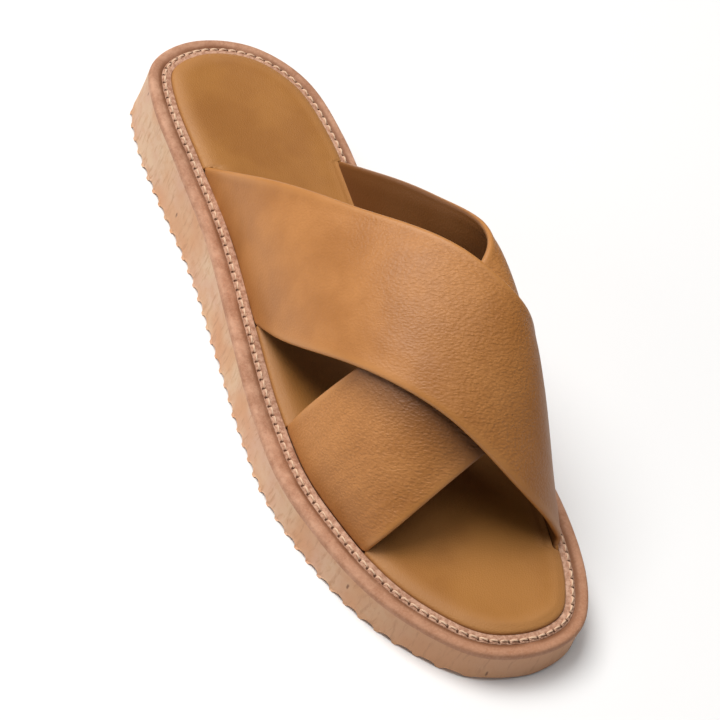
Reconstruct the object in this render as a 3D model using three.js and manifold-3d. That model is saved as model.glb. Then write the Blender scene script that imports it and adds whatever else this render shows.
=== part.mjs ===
// Slide sandal for the right foot: two crossed leather straps on a ribbed crepe sole.
// Millimetres, +Z up. The heel is towards +Y, the toe towards -Y and the outer side of the foot towards -X.
// The origin is on the floor, under the middle of the sandal's box.
import * as THREE from 'three';
import { mergeVertices } from 'three/addons/utils/BufferGeometryUtils.js';
import Module from 'manifold-3d';

// Overall sizes. Heights run from the floor to the top of the midsole.
const soleLength = 288;
const ballWidth = 104;
const heelHeight = 25;
const ballHeight = 15;
const toeSpring = 0.6;
const instepHeight = 73.5;

// Layers of the bottom
const fit = 0.3;
const midsoleThickness = 2.6;
const beadWidth = 3.9;
const bedDepth = 0.9;
const weltWidth = 3.7;
const weltThickness = 1.2;
const weltEase = 0.3;
const insoleThickness = 2.8;
const insoleRoll = 2.2;
const soleFlare = 0.7;

// Ribs under the crepe
const ribPitch = 6.6;
const ribCrest = 2.2;
const ribDepth = 1.3;
const ribSlope = 0.5;

// Straps
const strapThickness = 2.6;
const strapBond = 0.3;
const neckAboveWelt = 0.7;
const strapRiseTurn = 0.14;
const strapBendHeight = 12;
const strapSlotReach = 1.5;

// Fineness of the faceted surfaces
const outlineStations = 100;
const strapStations = 36;
const strapStrips = 7;
const rollTurns = [0, 0.3, 0.6, 1];
const edgeTurns = [0.25, 0.5, 0.75];
const slopeStep = 1e-3;
const seamHalvings = 32;
const weldDistance = 1e-4;

// The rim's half widths at shares of the length from the heel, as shares of the ball width
const outlineRows = [
  { share: 0.03, outer: 0.254, inner: 0.215 },
  { share: 0.1, outer: 0.328, inner: 0.345 },
  { share: 0.2, outer: 0.359, inner: 0.374 },
  { share: 0.33, outer: 0.387, inner: 0.349 },
  { share: 0.46, outer: 0.452, inner: 0.33 },
  { share: 0.58, outer: 0.514, inner: 0.386 },
  { share: 0.68, outer: 0.542, inner: 0.457 },
  { share: 0.77, outer: 0.509, inner: 0.469 },
  { share: 0.86, outer: 0.434, inner: 0.438 },
  { share: 0.94, outer: 0.289, inner: 0.36 },
  { share: 0.985, outer: 0.135, inner: 0.249 },
];
const heelTipShift = -0.029;
const toeTipShift = 0.071;

// Where the slope from the heel to the ball starts and ends, and where the toe spring starts
const heelFlatShare = 0.12;
const ballFlatShare = 0.62;
const springShare = 0.7;

// The crepe wall: how far it flares at shares of its height, as a share of the flare at the floor
const wallRows = [
  { height: 0, flare: 1 },
  { height: 0.3, flare: 0.4 },
  { height: 0.7, flare: 0 },
  { height: 1, flare: 0 },
];

// The bead's section: insets as shares of its width, and drops from the top as shares of the thickness
const beadRows = [
  { inset: 0, drop: 1 },
  { inset: -0.05, drop: 0.45 },
  { inset: 0.09, drop: 0.16 },
  { inset: 0.3, drop: 0 },
  { inset: 0.65, drop: 0.04 },
  { inset: 0.9, drop: 0.17 },
];

// The last under the straps: crown height and inward lean as shares of the instep height, and the
// roundness of the outer and inner flanks, where 2 is an ellipse and more is boxier
const lastRows = [
  { share: 0.22, crown: 0.954, lean: 0.322, outerFlank: 2.21, innerFlank: 2.09 },
  { share: 0.42, crown: 0.945, lean: 0.322, outerFlank: 2.22, innerFlank: 2.06 },
  { share: 0.58, crown: 1, lean: 0.323, outerFlank: 2.24, innerFlank: 1.95 },
  { share: 0.72, crown: 0.737, lean: 0.199, outerFlank: 2.21, innerFlank: 1.8 },
  { share: 0.86, crown: 0.144, lean: 0.104, outerFlank: 2.19, innerFlank: 1.74 },
];

// Each strap edge runs from a share of the length on the outer seam to one on the inner seam. It bows
// towards the toe by a share of the length, and two smaller waves move the crest of that bow.
const strapEdges = {
  overBack: { outer: 0.215, inner: 0.667, bow: 0.1458, sway: -0.0084, ripple: -0.0154 },
  overFront: { outer: 0.461, inner: 0.874, bow: 0.1369, sway: 0.0151, ripple: -0.003 },
  underBack: { outer: 0.609, inner: 0.24, bow: 0.1483, sway: 0.0083, ripple: -0.0011 },
  underFront: { outer: 0.81, inner: 0.505, bow: 0.1272, sway: -0.0218, ripple: 0.0158 },
};

// Insets from the rim. The strap's outer face stands just inside the welt.
const weltOuter = beadWidth + fit;
const weltInner = weltOuter + weltWidth;
const seamInset = weltInner + fit;

// The turns over the last between which its outer flank gives way to its inner flank
const flankBlend = { from: 0.15, to: 0.85 };

const wasm = await Module();
wasm.setup();

const shareOf = (y) => 0.5 - y / soleLength;
const yOf = (share) => soleLength * (0.5 - share);
const mix = THREE.MathUtils.lerp;
const clamp = THREE.MathUtils.clamp;
const smoothstep = THREE.MathUtils.smoothstep;

// Tangents for a smooth curve through uneven knots, each the weighted mean of its two slopes
function knotSlopes(at, values) {
  const slopes = at.slice(1).map((knot, i) => (values[i + 1] - values[i]) / (knot - at[i]));
  const tangents = [slopes[0]];
  for (let i = 1; i < slopes.length; i++) {
    const before = at[i] - at[i - 1];
    const after = at[i + 1] - at[i];
    tangents.push((slopes[i - 1] * after + slopes[i] * before) / (before + after));
  }
  tangents.push(slopes[slopes.length - 1]);
  return tangents;
}

// A smooth function through knots, straight beyond its ends
function smoothCurve(at, values, tangents = knotSlopes(at, values)) {
  const last = at.length - 1;
  return (t) => {
    if (t <= at[0]) return values[0] + (t - at[0]) * tangents[0];
    if (t >= at[last]) return values[last] + (t - at[last]) * tangents[last];
    const k = at.findIndex((knot) => knot > t) - 1;
    const span = at[k + 1] - at[k];
    const u = (t - at[k]) / span;
    const bend = u * u * (3 - 2 * u);
    const rise = u * (1 - u) * ((1 - u) * tangents[k] - u * tangents[k + 1]) * span;
    return mix(values[k], values[k + 1], bend) + rise;
  };
}

// The rim as a closed curve of an angle: 0 at the heel tip, pi at the toe tip, the outer side first
function makeRim() {
  const angle = (share) => Math.acos(1 - 2 * share);
  const outer = outlineRows.map((row) => [angle(row.share), -row.outer]);
  const inner = outlineRows.map((row) => [2 * Math.PI - angle(row.share), row.inner]).reverse();
  const once = [[0, heelTipShift], ...outer, [Math.PI, toeTipShift], ...inner];
  const turn = 2 * Math.PI;
  const shifted = (by) => once.map(([t, x]) => [t + by, x]);
  const knots = [...shifted(-turn), ...once, ...shifted(turn)];
  const curve = smoothCurve(knots.map(([t]) => t), knots.map(([, x]) => x * ballWidth));
  return (t) => new THREE.Vector2(curve(t), (soleLength / 2) * Math.cos(t));
}
const rim = makeRim();

// A point of the rim moved inwards
function rimPoint(angle, inset) {
  const along = rim(angle + slopeStep).sub(rim(angle - slopeStep)).normalize();
  return rim(angle).add(new THREE.Vector2(-along.y, along.x).multiplyScalar(inset));
}

function springHeight(y) {
  const past = clamp((shareOf(y) - springShare) / (1 - springShare), 0, 1);
  return toeSpring * past * past;
}

function topHeight(y) {
  const past = clamp((shareOf(y) - heelFlatShare) / (ballFlatShare - heelFlatShare), 0, 1);
  return springHeight(y) + mix(ballHeight, heelHeight, 0.5 + 0.5 * Math.cos(Math.PI * past));
}

const bedHeight = (y) => topHeight(y) - bedDepth;

// One closed ring of points at an inset from the rim, at heights from a function of y
function ring(inset, height) {
  const points = [];
  for (let i = 0; i < outlineStations; i++) {
    const p = rimPoint((2 * Math.PI * i) / outlineStations, inset);
    points.push(new THREE.Vector3(p.x, p.y, height(p.y)));
  }
  return points;
}

// Joins rings of equal count into one skin. A closed skin runs back to its first ring, and an open one
// is capped at both ends by the given list of triangles between a ring's own points.
function skin(rings, capTriangles) {
  const count = rings[0].length;
  const position = rings.flat().flatMap((p) => [p.x, p.y, p.z]);
  const index = [];
  const spans = capTriangles ? rings.length - 1 : rings.length;
  for (let r = 0; r < spans; r++) {
    const low = r * count;
    const high = ((r + 1) % rings.length) * count;
    for (let i = 0; i < count; i++) {
      const j = (i + 1) % count;
      index.push(low + i, low + j, high + j, low + i, high + j, high + i);
    }
  }
  if (capTriangles) {
    const top = (rings.length - 1) * count;
    for (const [a, b, c] of capTriangles) {
      index.push(a, c, b, top + a, top + b, top + c);
    }
  }
  const geometry = new THREE.BufferGeometry();
  geometry.setAttribute('position', new THREE.Float32BufferAttribute(position, 3));
  geometry.setIndex(index);
  return geometry;
}

// Triangles that close a ring by rungs between points i and count - i
function ladder(count) {
  const rungs = [[0, 1, count - 1]];
  for (let i = 1; i < count / 2 - 1; i++) {
    rungs.push([i, i + 1, count - i], [i + 1, count - i - 1, count - i]);
  }
  rungs.push([count / 2 - 1, count / 2, count / 2 + 1]);
  return rungs;
}

function toSolid(geometry) {
  const bare = geometry.clone();
  bare.deleteAttribute('normal');
  bare.deleteAttribute('uv');
  const merged = mergeVertices(bare, weldDistance);
  const mesh = new wasm.Mesh({
    numProp: 3,
    vertProperties: Float32Array.from(merged.attributes.position.array),
    triVerts: Uint32Array.from(merged.index.array),
  });
  return new wasm.Manifold(mesh);
}

function toGeometry(solid) {
  const mesh = solid.getMesh();
  const geometry = new THREE.BufferGeometry();
  geometry.setAttribute('position', new THREE.Float32BufferAttribute(mesh.vertProperties, mesh.numProp));
  geometry.setIndex(new THREE.Uint32BufferAttribute(mesh.triVerts, 1));
  return geometry;
}

// Outsole: the crepe wall flares towards the floor, and grooves between the ribs are cut from below
function makeOutsole() {
  const top = (y) => topHeight(y) - midsoleThickness - fit;
  const between = (part) => (y) => mix(springHeight(y), top(y), part);
  const wall = wallRows.map((row) => ring(-row.flare * soleFlare, between(row.height)));
  const slab = toSolid(skin(wall, ladder(outlineStations)));
  return toGeometry(slab.subtract(toSolid(makeGrooves())));
}

// A comb whose teeth are the grooves between ribs. Its profile is drawn across the foot's length.
function makeGrooves() {
  const reach = soleLength / 2 + ribPitch;
  const below = -2 * ribDepth;
  const profile = new THREE.Shape();
  profile.moveTo(-reach, below);
  const ribs = Math.floor(reach / ribPitch);
  for (let k = -ribs; k <= ribs; k++) {
    const start = (k - 0.5) * ribPitch + ribCrest / 2;
    const end = (k + 0.5) * ribPitch - ribCrest / 2;
    profile.lineTo(start, below / 2);
    profile.lineTo(start, 0);
    profile.lineTo(start + ribSlope, ribDepth);
    profile.lineTo(end - ribSlope, ribDepth);
    profile.lineTo(end, 0);
    profile.lineTo(end, below / 2);
  }
  profile.lineTo(reach, below);
  const comb = new THREE.ExtrudeGeometry(profile, { depth: 2 * ballWidth, bevelEnabled: false });
  comb.translate(0, 0, -ballWidth);
  comb.rotateX(Math.PI / 2);
  comb.rotateZ(Math.PI / 2);
  return comb;
}

// Midsole: a rounded bead runs round the rim, above a flat bed for the welt and insole
function makeMidsole() {
  const below = (drop) => (y) => topHeight(y) - drop * midsoleThickness;
  const bead = beadRows.map((row) => ring(row.inset * beadWidth, below(row.drop)));
  return skin([...bead, ring(beadWidth, bedHeight)], ladder(outlineStations));
}

// Welt: a closed strip on the bed, with eased upper corners
function makeWelt() {
  const above = (offset) => (y) => bedHeight(y) + fit + offset;
  return skin([
    ring(weltOuter, above(0)),
    ring(weltOuter, above(weltThickness - weltEase)),
    ring(weltOuter + weltEase, above(weltThickness)),
    ring(weltInner - weltEase, above(weltThickness)),
    ring(weltInner, above(weltThickness - weltEase)),
    ring(weltInner, above(0)),
  ]);
}

// Insole: the rolled edge is a quarter round, and the straps' ends are cut out of it
function makeInsole() {
  const foot = (y) => bedHeight(y) + fit;
  const shoulder = insoleThickness - insoleRoll;
  const rings = [ring(seamInset, foot)];
  for (const turn of rollTurns) {
    const angle = (turn * Math.PI) / 2;
    const inset = seamInset + insoleRoll * (1 - Math.cos(angle));
    const rise = shoulder + insoleRoll * Math.sin(angle);
    rings.push(ring(inset, (y) => foot(y) + rise));
  }
  const pad = toSolid(skin(rings, ladder(outlineStations)));
  const slot = (strap) => toSolid(makeStrap(strap, fit, strapSlotReach));
  const cut = slot(overStrap).add(slot(underStrap));
  return toGeometry(pad.subtract(cut));
}

// The seam's x on one side at a given y, by halving the angle range
function seamX(y, side) {
  let near = side < 0 ? 0 : 2 * Math.PI;
  let far = Math.PI;
  for (let i = 0; i < seamHalvings; i++) {
    const middle = (near + far) / 2;
    if (rimPoint(middle, seamInset).y > y) near = middle;
    else far = middle;
  }
  return rimPoint((near + far) / 2, seamInset).x;
}

const lastShares = lastRows.map((row) => row.share);
const lastColumn = (name) => smoothCurve(lastShares, lastRows.map((row) => row[name]));
const crownShare = lastColumn('crown');
const leanShare = lastColumn('lean');
const outerFlank = lastColumn('outerFlank');
const innerFlank = lastColumn('innerFlank');
const neckTop = (y) => bedHeight(y) + fit + weltThickness + neckAboveWelt;

// The last's surface under the straps. turn runs from 0 at the outer seam over the crown to 1.
function lastPoint(y, turn) {
  const share = shareOf(y);
  const outer = seamX(y, -1);
  const inner = seamX(y, 1);
  const angle = Math.PI * turn;
  const inward = smoothstep(turn, flankBlend.from, flankBlend.to);
  const flank = mix(outerFlank(share), innerFlank(share), inward);
  const sine = Math.max(Math.sin(angle), 0);
  const cosine = Math.cos(angle);
  const reach = (Math.abs(cosine) ** flank + sine ** flank) ** (-1 / flank);
  const lean = leanShare(share) * instepHeight * sine * sine;
  const crownTop = topHeight(y) + crownShare(share) * instepHeight;
  const x = (outer + inner) / 2 - ((inner - outer) / 2) * reach * cosine + lean;
  const z = mix(neckTop(y), crownTop, reach * sine);
  return new THREE.Vector3(x, y, z);
}

function edgeY(edge, turn) {
  const wave = (waves) => Math.sin(waves * Math.PI * turn);
  const bowed = edge.bow * wave(1) + edge.sway * wave(2) + edge.ripple * wave(3);
  return mix(yOf(edge.outer), yOf(edge.inner), turn) - soleLength * bowed;
}

// The over strap rises on the under strap and comes back to the last at both seams
const overLift = strapThickness - strapBond;
const overStrap = { back: strapEdges.overBack, front: strapEdges.overFront, lift: overLift };
const underStrap = { back: strapEdges.underBack, front: strapEdges.underFront, lift: 0 };

function strapPoint(strap, turn, across) {
  return lastPoint(mix(edgeY(strap.back, turn), edgeY(strap.front, turn), across), turn);
}

function strapLift(strap, turn) {
  return strap.lift * smoothstep(Math.min(turn, 1 - turn), 0, strapRiseTurn);
}

// The strap's own direction at a point. At both seams it is upright, so that the ends stand square.
function strapAlong(strap, turn, across) {
  if (turn === 0) return new THREE.Vector3(0, 0, 1);
  if (turn === 1) return new THREE.Vector3(0, 0, -1);
  const ahead = strapPoint(strap, turn + slopeStep, across);
  return ahead.sub(strapPoint(strap, turn - slopeStep, across)).normalize();
}

// The way from the back edge to the front edge, as long as the strap is wide there
function strapSide(strap, turn, across) {
  const ahead = strapPoint(strap, turn, across + slopeStep);
  return ahead.sub(strapPoint(strap, turn, across - slopeStep)).divideScalar(2 * slopeStep);
}

// How far across the strap one millimetre square to the edge is, at its back or front edge
function acrossPerMillimetre(strap, turn, across) {
  const side = strapSide(strap, turn, across);
  const width = side.length();
  const slant = side.dot(strapAlong(strap, turn, across)) / width;
  return 1 / (width * Math.sqrt(1 - slant * slant));
}

// The way out of the last's surface. It is level at the seams and turns gently above them, so that the
// inner face doesn't fold where a strap leaves its seam at a slant.
function strapNormal(strap, turn, across) {
  const out = strapSide(strap, turn, across).cross(strapAlong(strap, turn, across)).normalize();
  const p = strapPoint(strap, turn, across);
  const freed = smoothstep(p.z - neckTop(p.y), 0, strapBendHeight);
  const level = new THREE.Vector3(out.x, out.y, 0).normalize();
  return level.lerp(out, freed).normalize();
}

// One loop round the strap's thickness: outer face, turned front edge, inner face, turned back edge.
// For the slot that it leaves in the insole, the form grows all round and its outer face moves outwards.
function strapLoop(strap, turn, grow, outward) {
  const round = strapThickness / 2 + grow;
  const middle = strapLift(strap, turn) - strapThickness / 2;
  const backScale = acrossPerMillimetre(strap, turn, 0);
  const frontScale = acrossPerMillimetre(strap, turn, 1);
  const backIn = (strapThickness / 2) * backScale;
  const frontIn = 1 - (strapThickness / 2) * frontScale;
  const strip = (k) => mix(backIn, frontIn, k / strapStrips);
  const points = [];
  const add = (across, offset) => {
    const out = strapNormal(strap, turn, clamp(across, 0, 1));
    points.push(strapPoint(strap, turn, across).addScaledVector(out, offset));
  };
  const turned = (across, scale, part) => {
    const angle = Math.PI * part;
    add(across + round * Math.sin(angle) * scale, middle + round * Math.cos(angle));
  };
  for (let k = 0; k <= strapStrips; k++) add(strip(k), middle + round + outward);
  for (const part of edgeTurns) turned(frontIn, frontScale, part);
  for (let k = strapStrips; k >= 0; k--) add(strip(k), middle - round);
  for (const part of edgeTurns.toReversed()) turned(backIn, -backScale, part);
  return points;
}

// A strap from the bed, up its outer neck, over the last and down its inner neck
function makeStrap(strap, grow = 0, outward = 0) {
  const loops = [];
  for (let k = 0; k <= strapStations; k++) {
    loops.push(strapLoop(strap, k / strapStations, grow, outward));
  }
  const sunk = (loop) => loop.map((p) => new THREE.Vector3(p.x, p.y, bedHeight(p.y) + fit - grow));
  loops.unshift(sunk(loops[0]));
  loops.push(sunk(loops[loops.length - 1]));
  return skin(loops, strapEnd(loops[0].length));
}

// Triangles that close a strap's end: a strip between its faces and a fan over each turned edge
function strapEnd(count) {
  const facing = (k) => 2 * strapStrips + edgeTurns.length + 1 - k;
  const triangles = [];
  for (let k = 0; k < strapStrips; k++) {
    triangles.push([k, k + 1, facing(k + 1)], [k, facing(k + 1), facing(k)]);
  }
  const fan = (first) => {
    for (let k = 1; k <= edgeTurns.length; k++) {
      triangles.push([first, first + k, (first + k + 1) % count]);
    }
  };
  fan(strapStrips);
  fan(facing(0));
  return triangles;
}

// Upper: the two straps as one piece, joined where the over strap lies on the under strap
function makeUpper() {
  return toGeometry(toSolid(makeStrap(underStrap)).add(toSolid(makeStrap(overStrap))));
}

function finish(colour, roughness) {
  return new THREE.MeshStandardMaterial({ color: colour, roughness, metalness: 0 });
}

function named(name, geometry, material) {
  const flat = geometry.index ? geometry.toNonIndexed() : geometry;
  flat.computeVertexNormals();
  const mesh = new THREE.Mesh(flat, material);
  mesh.name = name;
  return mesh;
}

const sandal = new THREE.Group();
sandal.add(
  named('outsole', makeOutsole(), finish(0xd9ad8b, 0.75)),
  named('midsole', makeMidsole(), finish(0xb98168, 0.6)),
  named('welt', makeWelt(), finish(0xb07d66, 0.8)),
  named('insole', makeInsole(), finish(0xb57c40, 0.5)),
  named('upper', makeUpper(), finish(0xc28a52, 0.5)),
);

const box = new THREE.Box3().setFromObject(sandal);
sandal.position.set(-(box.min.x + box.max.x) / 2, -(box.min.y + box.max.y) / 2, -box.min.z);

const group = new THREE.Group();
group.add(sandal);
export default group;
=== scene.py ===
"""Slide sandal for the right foot: its crepe, leather and thread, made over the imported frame.

Metres, +Z up. The heel is towards +Y, the toe towards -Y and the outer side of the foot towards -X.
"""

import logging
import math
from dataclasses import dataclass
from enum import Enum
from typing import Any, Callable, Sequence

import bpy
import numpy as np
from mathutils import Matrix, Vector


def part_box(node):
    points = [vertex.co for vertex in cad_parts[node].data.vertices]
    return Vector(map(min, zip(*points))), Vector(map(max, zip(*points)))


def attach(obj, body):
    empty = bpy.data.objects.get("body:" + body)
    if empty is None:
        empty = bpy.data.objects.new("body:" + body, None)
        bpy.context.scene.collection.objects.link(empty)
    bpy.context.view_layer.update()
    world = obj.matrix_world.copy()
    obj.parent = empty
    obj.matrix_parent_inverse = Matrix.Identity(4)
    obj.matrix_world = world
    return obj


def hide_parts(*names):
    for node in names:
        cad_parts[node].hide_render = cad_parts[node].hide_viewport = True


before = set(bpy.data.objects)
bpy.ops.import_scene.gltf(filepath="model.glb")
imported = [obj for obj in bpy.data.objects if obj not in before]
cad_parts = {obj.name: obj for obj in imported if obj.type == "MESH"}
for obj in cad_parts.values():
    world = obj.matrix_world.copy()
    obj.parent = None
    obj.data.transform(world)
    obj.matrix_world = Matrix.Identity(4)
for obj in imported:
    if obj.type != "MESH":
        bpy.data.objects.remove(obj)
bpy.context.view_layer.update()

LOG = logging.getLogger("sandal")
MM = 0.001
BODY = "root"
Array = np.ndarray
Piece = bpy.types.Object
Place = Callable[[Array], Array]


def mix(low: Any, high: Any, share: Any) -> Any:
    """Goes from low to high as share goes from 0 to 1."""
    return low + (high - low) * share


def smoothstep(value: Any, low: float, high: float) -> Array:
    """Rises smoothly from 0 at low to 1 at high.

    Args:
        value: The numbers to read.
        low: Where the rise starts.
        high: Where the rise ends.

    Returns:
        The risen shares, from 0 to 1.
    """
    share = np.clip((np.asarray(value, float) - low) / (high - low), 0, 1)
    return share * share * (3 - 2 * share)


def bump_at(value: Array, centre: float, spread: float) -> Array:
    """A soft bump that is 1 at its centre and dies away over its spread."""
    return np.exp(-(((value - centre) / spread) ** 2))


class SmoothCurve:
    """A smooth function through uneven knots, straight beyond its ends."""

    def __init__(self, at: Sequence[float], values: Sequence[float]) -> None:
        """Works out the tangent at each knot.

        Args:
            at: The knots, rising.
            values: The curve's value at each knot.
        """
        self.at = np.asarray(at, float)
        self.values = np.asarray(values, float)
        spans = np.diff(self.at)
        slopes = np.diff(self.values) / spans
        inner = (slopes[:-1] * spans[1:] + slopes[1:] * spans[:-1]) / (spans[:-1] + spans[1:])
        self.tangents = np.concatenate([slopes[:1], inner, slopes[-1:]])

    def __call__(self, t: Array) -> Array:
        """The curve's values.

        Args:
            t: Where to read the curve.

        Returns:
            One value for each t.
        """
        t = np.asarray(t, float)
        k = np.clip(np.searchsorted(self.at, t, side="right") - 1, 0, len(self.at) - 2)
        span = self.at[k + 1] - self.at[k]
        u = np.clip((t - self.at[k]) / span, 0, 1)
        bend = u * u * (3 - 2 * u)
        rise = u * (1 - u) * ((1 - u) * self.tangents[k] - u * self.tangents[k + 1]) * span
        before = np.minimum(t - self.at[0], 0) * self.tangents[0]
        after = np.maximum(t - self.at[-1], 0) * self.tangents[-1]
        return mix(self.values[k], self.values[k + 1], bend) + rise + before + after


@dataclass(frozen=True)
class RimRow:
    """Half widths of the rim, as shares of the ball width, at a share of the length from the heel."""

    share: float
    outer: float
    inner: float


RIM_ROWS = (
    RimRow(0.03, 0.254, 0.215),
    RimRow(0.1, 0.328, 0.342),
    RimRow(0.2, 0.359, 0.362),
    RimRow(0.33, 0.387, 0.337),
    RimRow(0.46, 0.452, 0.33),
    RimRow(0.58, 0.514, 0.386),
    RimRow(0.68, 0.542, 0.457),
    RimRow(0.77, 0.509, 0.469),
    RimRow(0.86, 0.434, 0.438),
    RimRow(0.94, 0.289, 0.36),
    RimRow(0.985, 0.135, 0.249),
)
HEEL_TIP_SHIFT = -0.029
TOE_TIP_SHIFT = 0.071


@dataclass(frozen=True)
class Sizes:
    """The sandal's driving sizes. Heights run from the floor to the top of the midsole."""

    length: float = 288 * MM
    ball_width: float = 104 * MM
    heel_height: float = 25 * MM
    ball_height: float = 15 * MM
    toe_spring: float = 0.6 * MM
    instep_height: float = 73.5 * MM
    heel_flat: float = 0.12
    ball_flat: float = 0.62
    spring_start: float = 0.7
    fit: float = 0.3 * MM
    sole_flare: float = 0.7 * MM
    midsole_thickness: float = 2.6 * MM
    bead_width: float = 4.6 * MM
    bed_depth: float = 0.9 * MM
    welt_width: float = 3.3 * MM
    welt_thickness: float = 0.65 * MM
    insole_thickness: float = 2.8 * MM
    strap_thickness: float = 2.6 * MM
    strap_bond: float = 0.3 * MM
    neck_above_welt: float = 0.95 * MM

    @property
    def welt_outer(self) -> float:
        """How far the welt's outer edge lies in from the rim."""
        return self.bead_width + self.fit

    @property
    def welt_inner(self) -> float:
        """How far the welt's inner edge lies in from the rim."""
        return self.welt_outer + self.welt_width

    @property
    def seam_inset(self) -> float:
        """How far the seam beside the welt lies in from the rim."""
        return self.welt_inner + self.fit


class Pattern:
    """The sole's outline and heights.

    An angle runs round it from 0 at the heel, over the outer side first, to pi at the toe.
    """

    FINE = 4000
    NUDGE = 1e-3
    SWELLS = ((1.8, 0.85, 0.2), (3.75, 0.4, 0.14), (5.26, 0.35, -0.16))

    def __init__(self, sizes: Sizes) -> None:
        """Draws the rim and sets it in the middle of the frame's outsole.

        Args:
            sizes: The sandal's driving sizes.
        """
        self.sizes = sizes
        outer = [(self.turn_at(row.share), -row.outer) for row in RIM_ROWS]
        inner = [(2 * math.pi - self.turn_at(row.share), row.inner) for row in reversed(RIM_ROWS)]
        once = [(0, HEEL_TIP_SHIFT), *outer, (math.pi, TOE_TIP_SHIFT), *inner]
        knots = [(t + by, x) for by in (-2 * math.pi, 0, 2 * math.pi) for t, x in once]
        self.curve = SmoothCurve([t for t, _ in knots], [x * sizes.ball_width for _, x in knots])
        self.shift = 0.0
        angles = np.linspace(0, 2 * math.pi, self.FINE, endpoint=False)
        low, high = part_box("outsole")
        reach = self.point(angles, -sizes.sole_flare)[:, 0]
        self.shift = (low.x + high.x) / 2 - (reach.min() + reach.max()) / 2
        self.seams = {side: self._seam(side) for side in (-1, 1)}

    @staticmethod
    def turn_at(share: float) -> float:
        """The angle on the outer side at a share of the length from the heel."""
        return math.acos(1 - 2 * share)

    def _seam(self, side: int) -> tuple[Array, Array]:
        """Reads one side of the seam.

        Args:
            side: The outer side (-1) or the inner side (1).

        Returns:
            The rising y of its points, and the x at each.
        """
        angles = np.linspace(0, math.pi, self.FINE)
        points = self.point(angles if side < 0 else 2 * math.pi - angles, self.sizes.seam_inset)
        order = np.argsort(points[:, 1])
        return points[order, 1], points[order, 0]

    def rim(self, angle: Array) -> Array:
        """Points of the rim itself, as x and y."""
        return np.stack([self.curve(angle) + self.shift, self.sizes.length / 2 * np.cos(angle)], -1)

    def swell(self, turn: Array) -> Array:
        """How much wider than usual the band inside the rim is."""
        return 1 + sum(rise * bump_at(turn, at, spread) for at, spread, rise in self.SWELLS)

    def point(self, angle: Array, inset: Any) -> Array:
        """Points of the rim moved inwards.

        Args:
            angle: Angles round the sole.
            inset: How far in, one number or one for each angle.

        Returns:
            The x and y of each point.
        """
        turn = np.mod(angle, 2 * math.pi)
        along = self.rim(turn + self.NUDGE) - self.rim(turn - self.NUDGE)
        along /= np.linalg.norm(along, axis=-1, keepdims=True)
        inward = np.stack([-along[..., 1], along[..., 0]], -1)
        inset = np.asarray(inset, float) * np.where(np.asarray(inset) > 0, self.swell(turn), 1.0)
        return self.rim(turn) + inward * inset[..., None]

    def share_of(self, y: Array) -> Array:
        """The share of the length from the heel at a y."""
        return 0.5 - y / self.sizes.length

    def y_of(self, share: float) -> float:
        """The y at a share of the length from the heel."""
        return self.sizes.length * (0.5 - share)

    def spring(self, y: Array) -> Array:
        """How far the sole has risen from the floor towards the toe."""
        start = self.sizes.spring_start
        return self.sizes.toe_spring * np.clip((self.share_of(y) - start) / (1 - start), 0, 1) ** 2

    def top(self, y: Array) -> Array:
        """The height of the midsole's top.

        Args:
            y: Where along the foot.

        Returns:
            The height at each y.
        """
        s = self.sizes
        past = np.clip((self.share_of(y) - s.heel_flat) / (s.ball_flat - s.heel_flat), 0, 1)
        return self.spring(y) + mix(s.ball_height, s.heel_height, 0.5 + 0.5 * np.cos(math.pi * past))

    def bed(self, y: Array) -> Array:
        """The height of the flat bed inside the bead."""
        return self.top(y) - self.sizes.bed_depth

    def under(self, y: Array) -> Array:
        """The height of the midsole's underside."""
        return self.top(y) - self.sizes.midsole_thickness

    def seat(self, y: Array) -> Array:
        """The height on which the welt, the insole and the straps' ends lie, just over the bed."""
        return self.bed(y) + self.sizes.fit

    def seam_x(self, y: Array, side: int) -> Array:
        """The seam's x at a y, on the outer side (-1) or the inner side (1)."""
        return np.interp(y, *self.seams[side])

    def ring(self, inset: Any, height: Callable[[Array], Array], rise: Any = 0.0) -> Place:
        """A row for a loft: points at an inset, at heights read from their y.

        Args:
            inset: How far in from the rim.
            height: Gives the height at each y.
            rise: How far the row lies above that height.

        Returns:
            A function from angles to points.
        """
        def place(angle: Array) -> Array:
            """Points of the row at these angles."""
            flat = self.point(angle, inset)
            return np.column_stack([flat, height(flat[:, 1]) + rise])

        return place

    def even_angles(self, count: int, inset: float) -> Array:
        """Angles that part each side of the outline at an inset into equal stretches.

        Args:
            count: How many angles to give, an even number.
            inset: The inset at which the stretches are equal.

        Returns:
            The angles, as many on one side as on the other, the first half a stretch past the heel.
        """
        fine = np.linspace(0, 2 * math.pi, self.FINE + 1)
        points = self.point(fine, inset)
        run = np.concatenate([[0], np.cumsum(np.linalg.norm(np.diff(points, axis=0), axis=1))])
        toe, whole = run[self.FINE // 2], run[-1]
        shares = (np.arange(count // 2) + 0.5) / (count // 2)
        return np.interp(np.concatenate([shares * toe, mix(toe, whole, shares)]), run, fine)


class Part(Enum):
    """The kinds of element that can be picked."""

    VERTS = 0
    EDGES = 1
    FACES = 2


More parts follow.
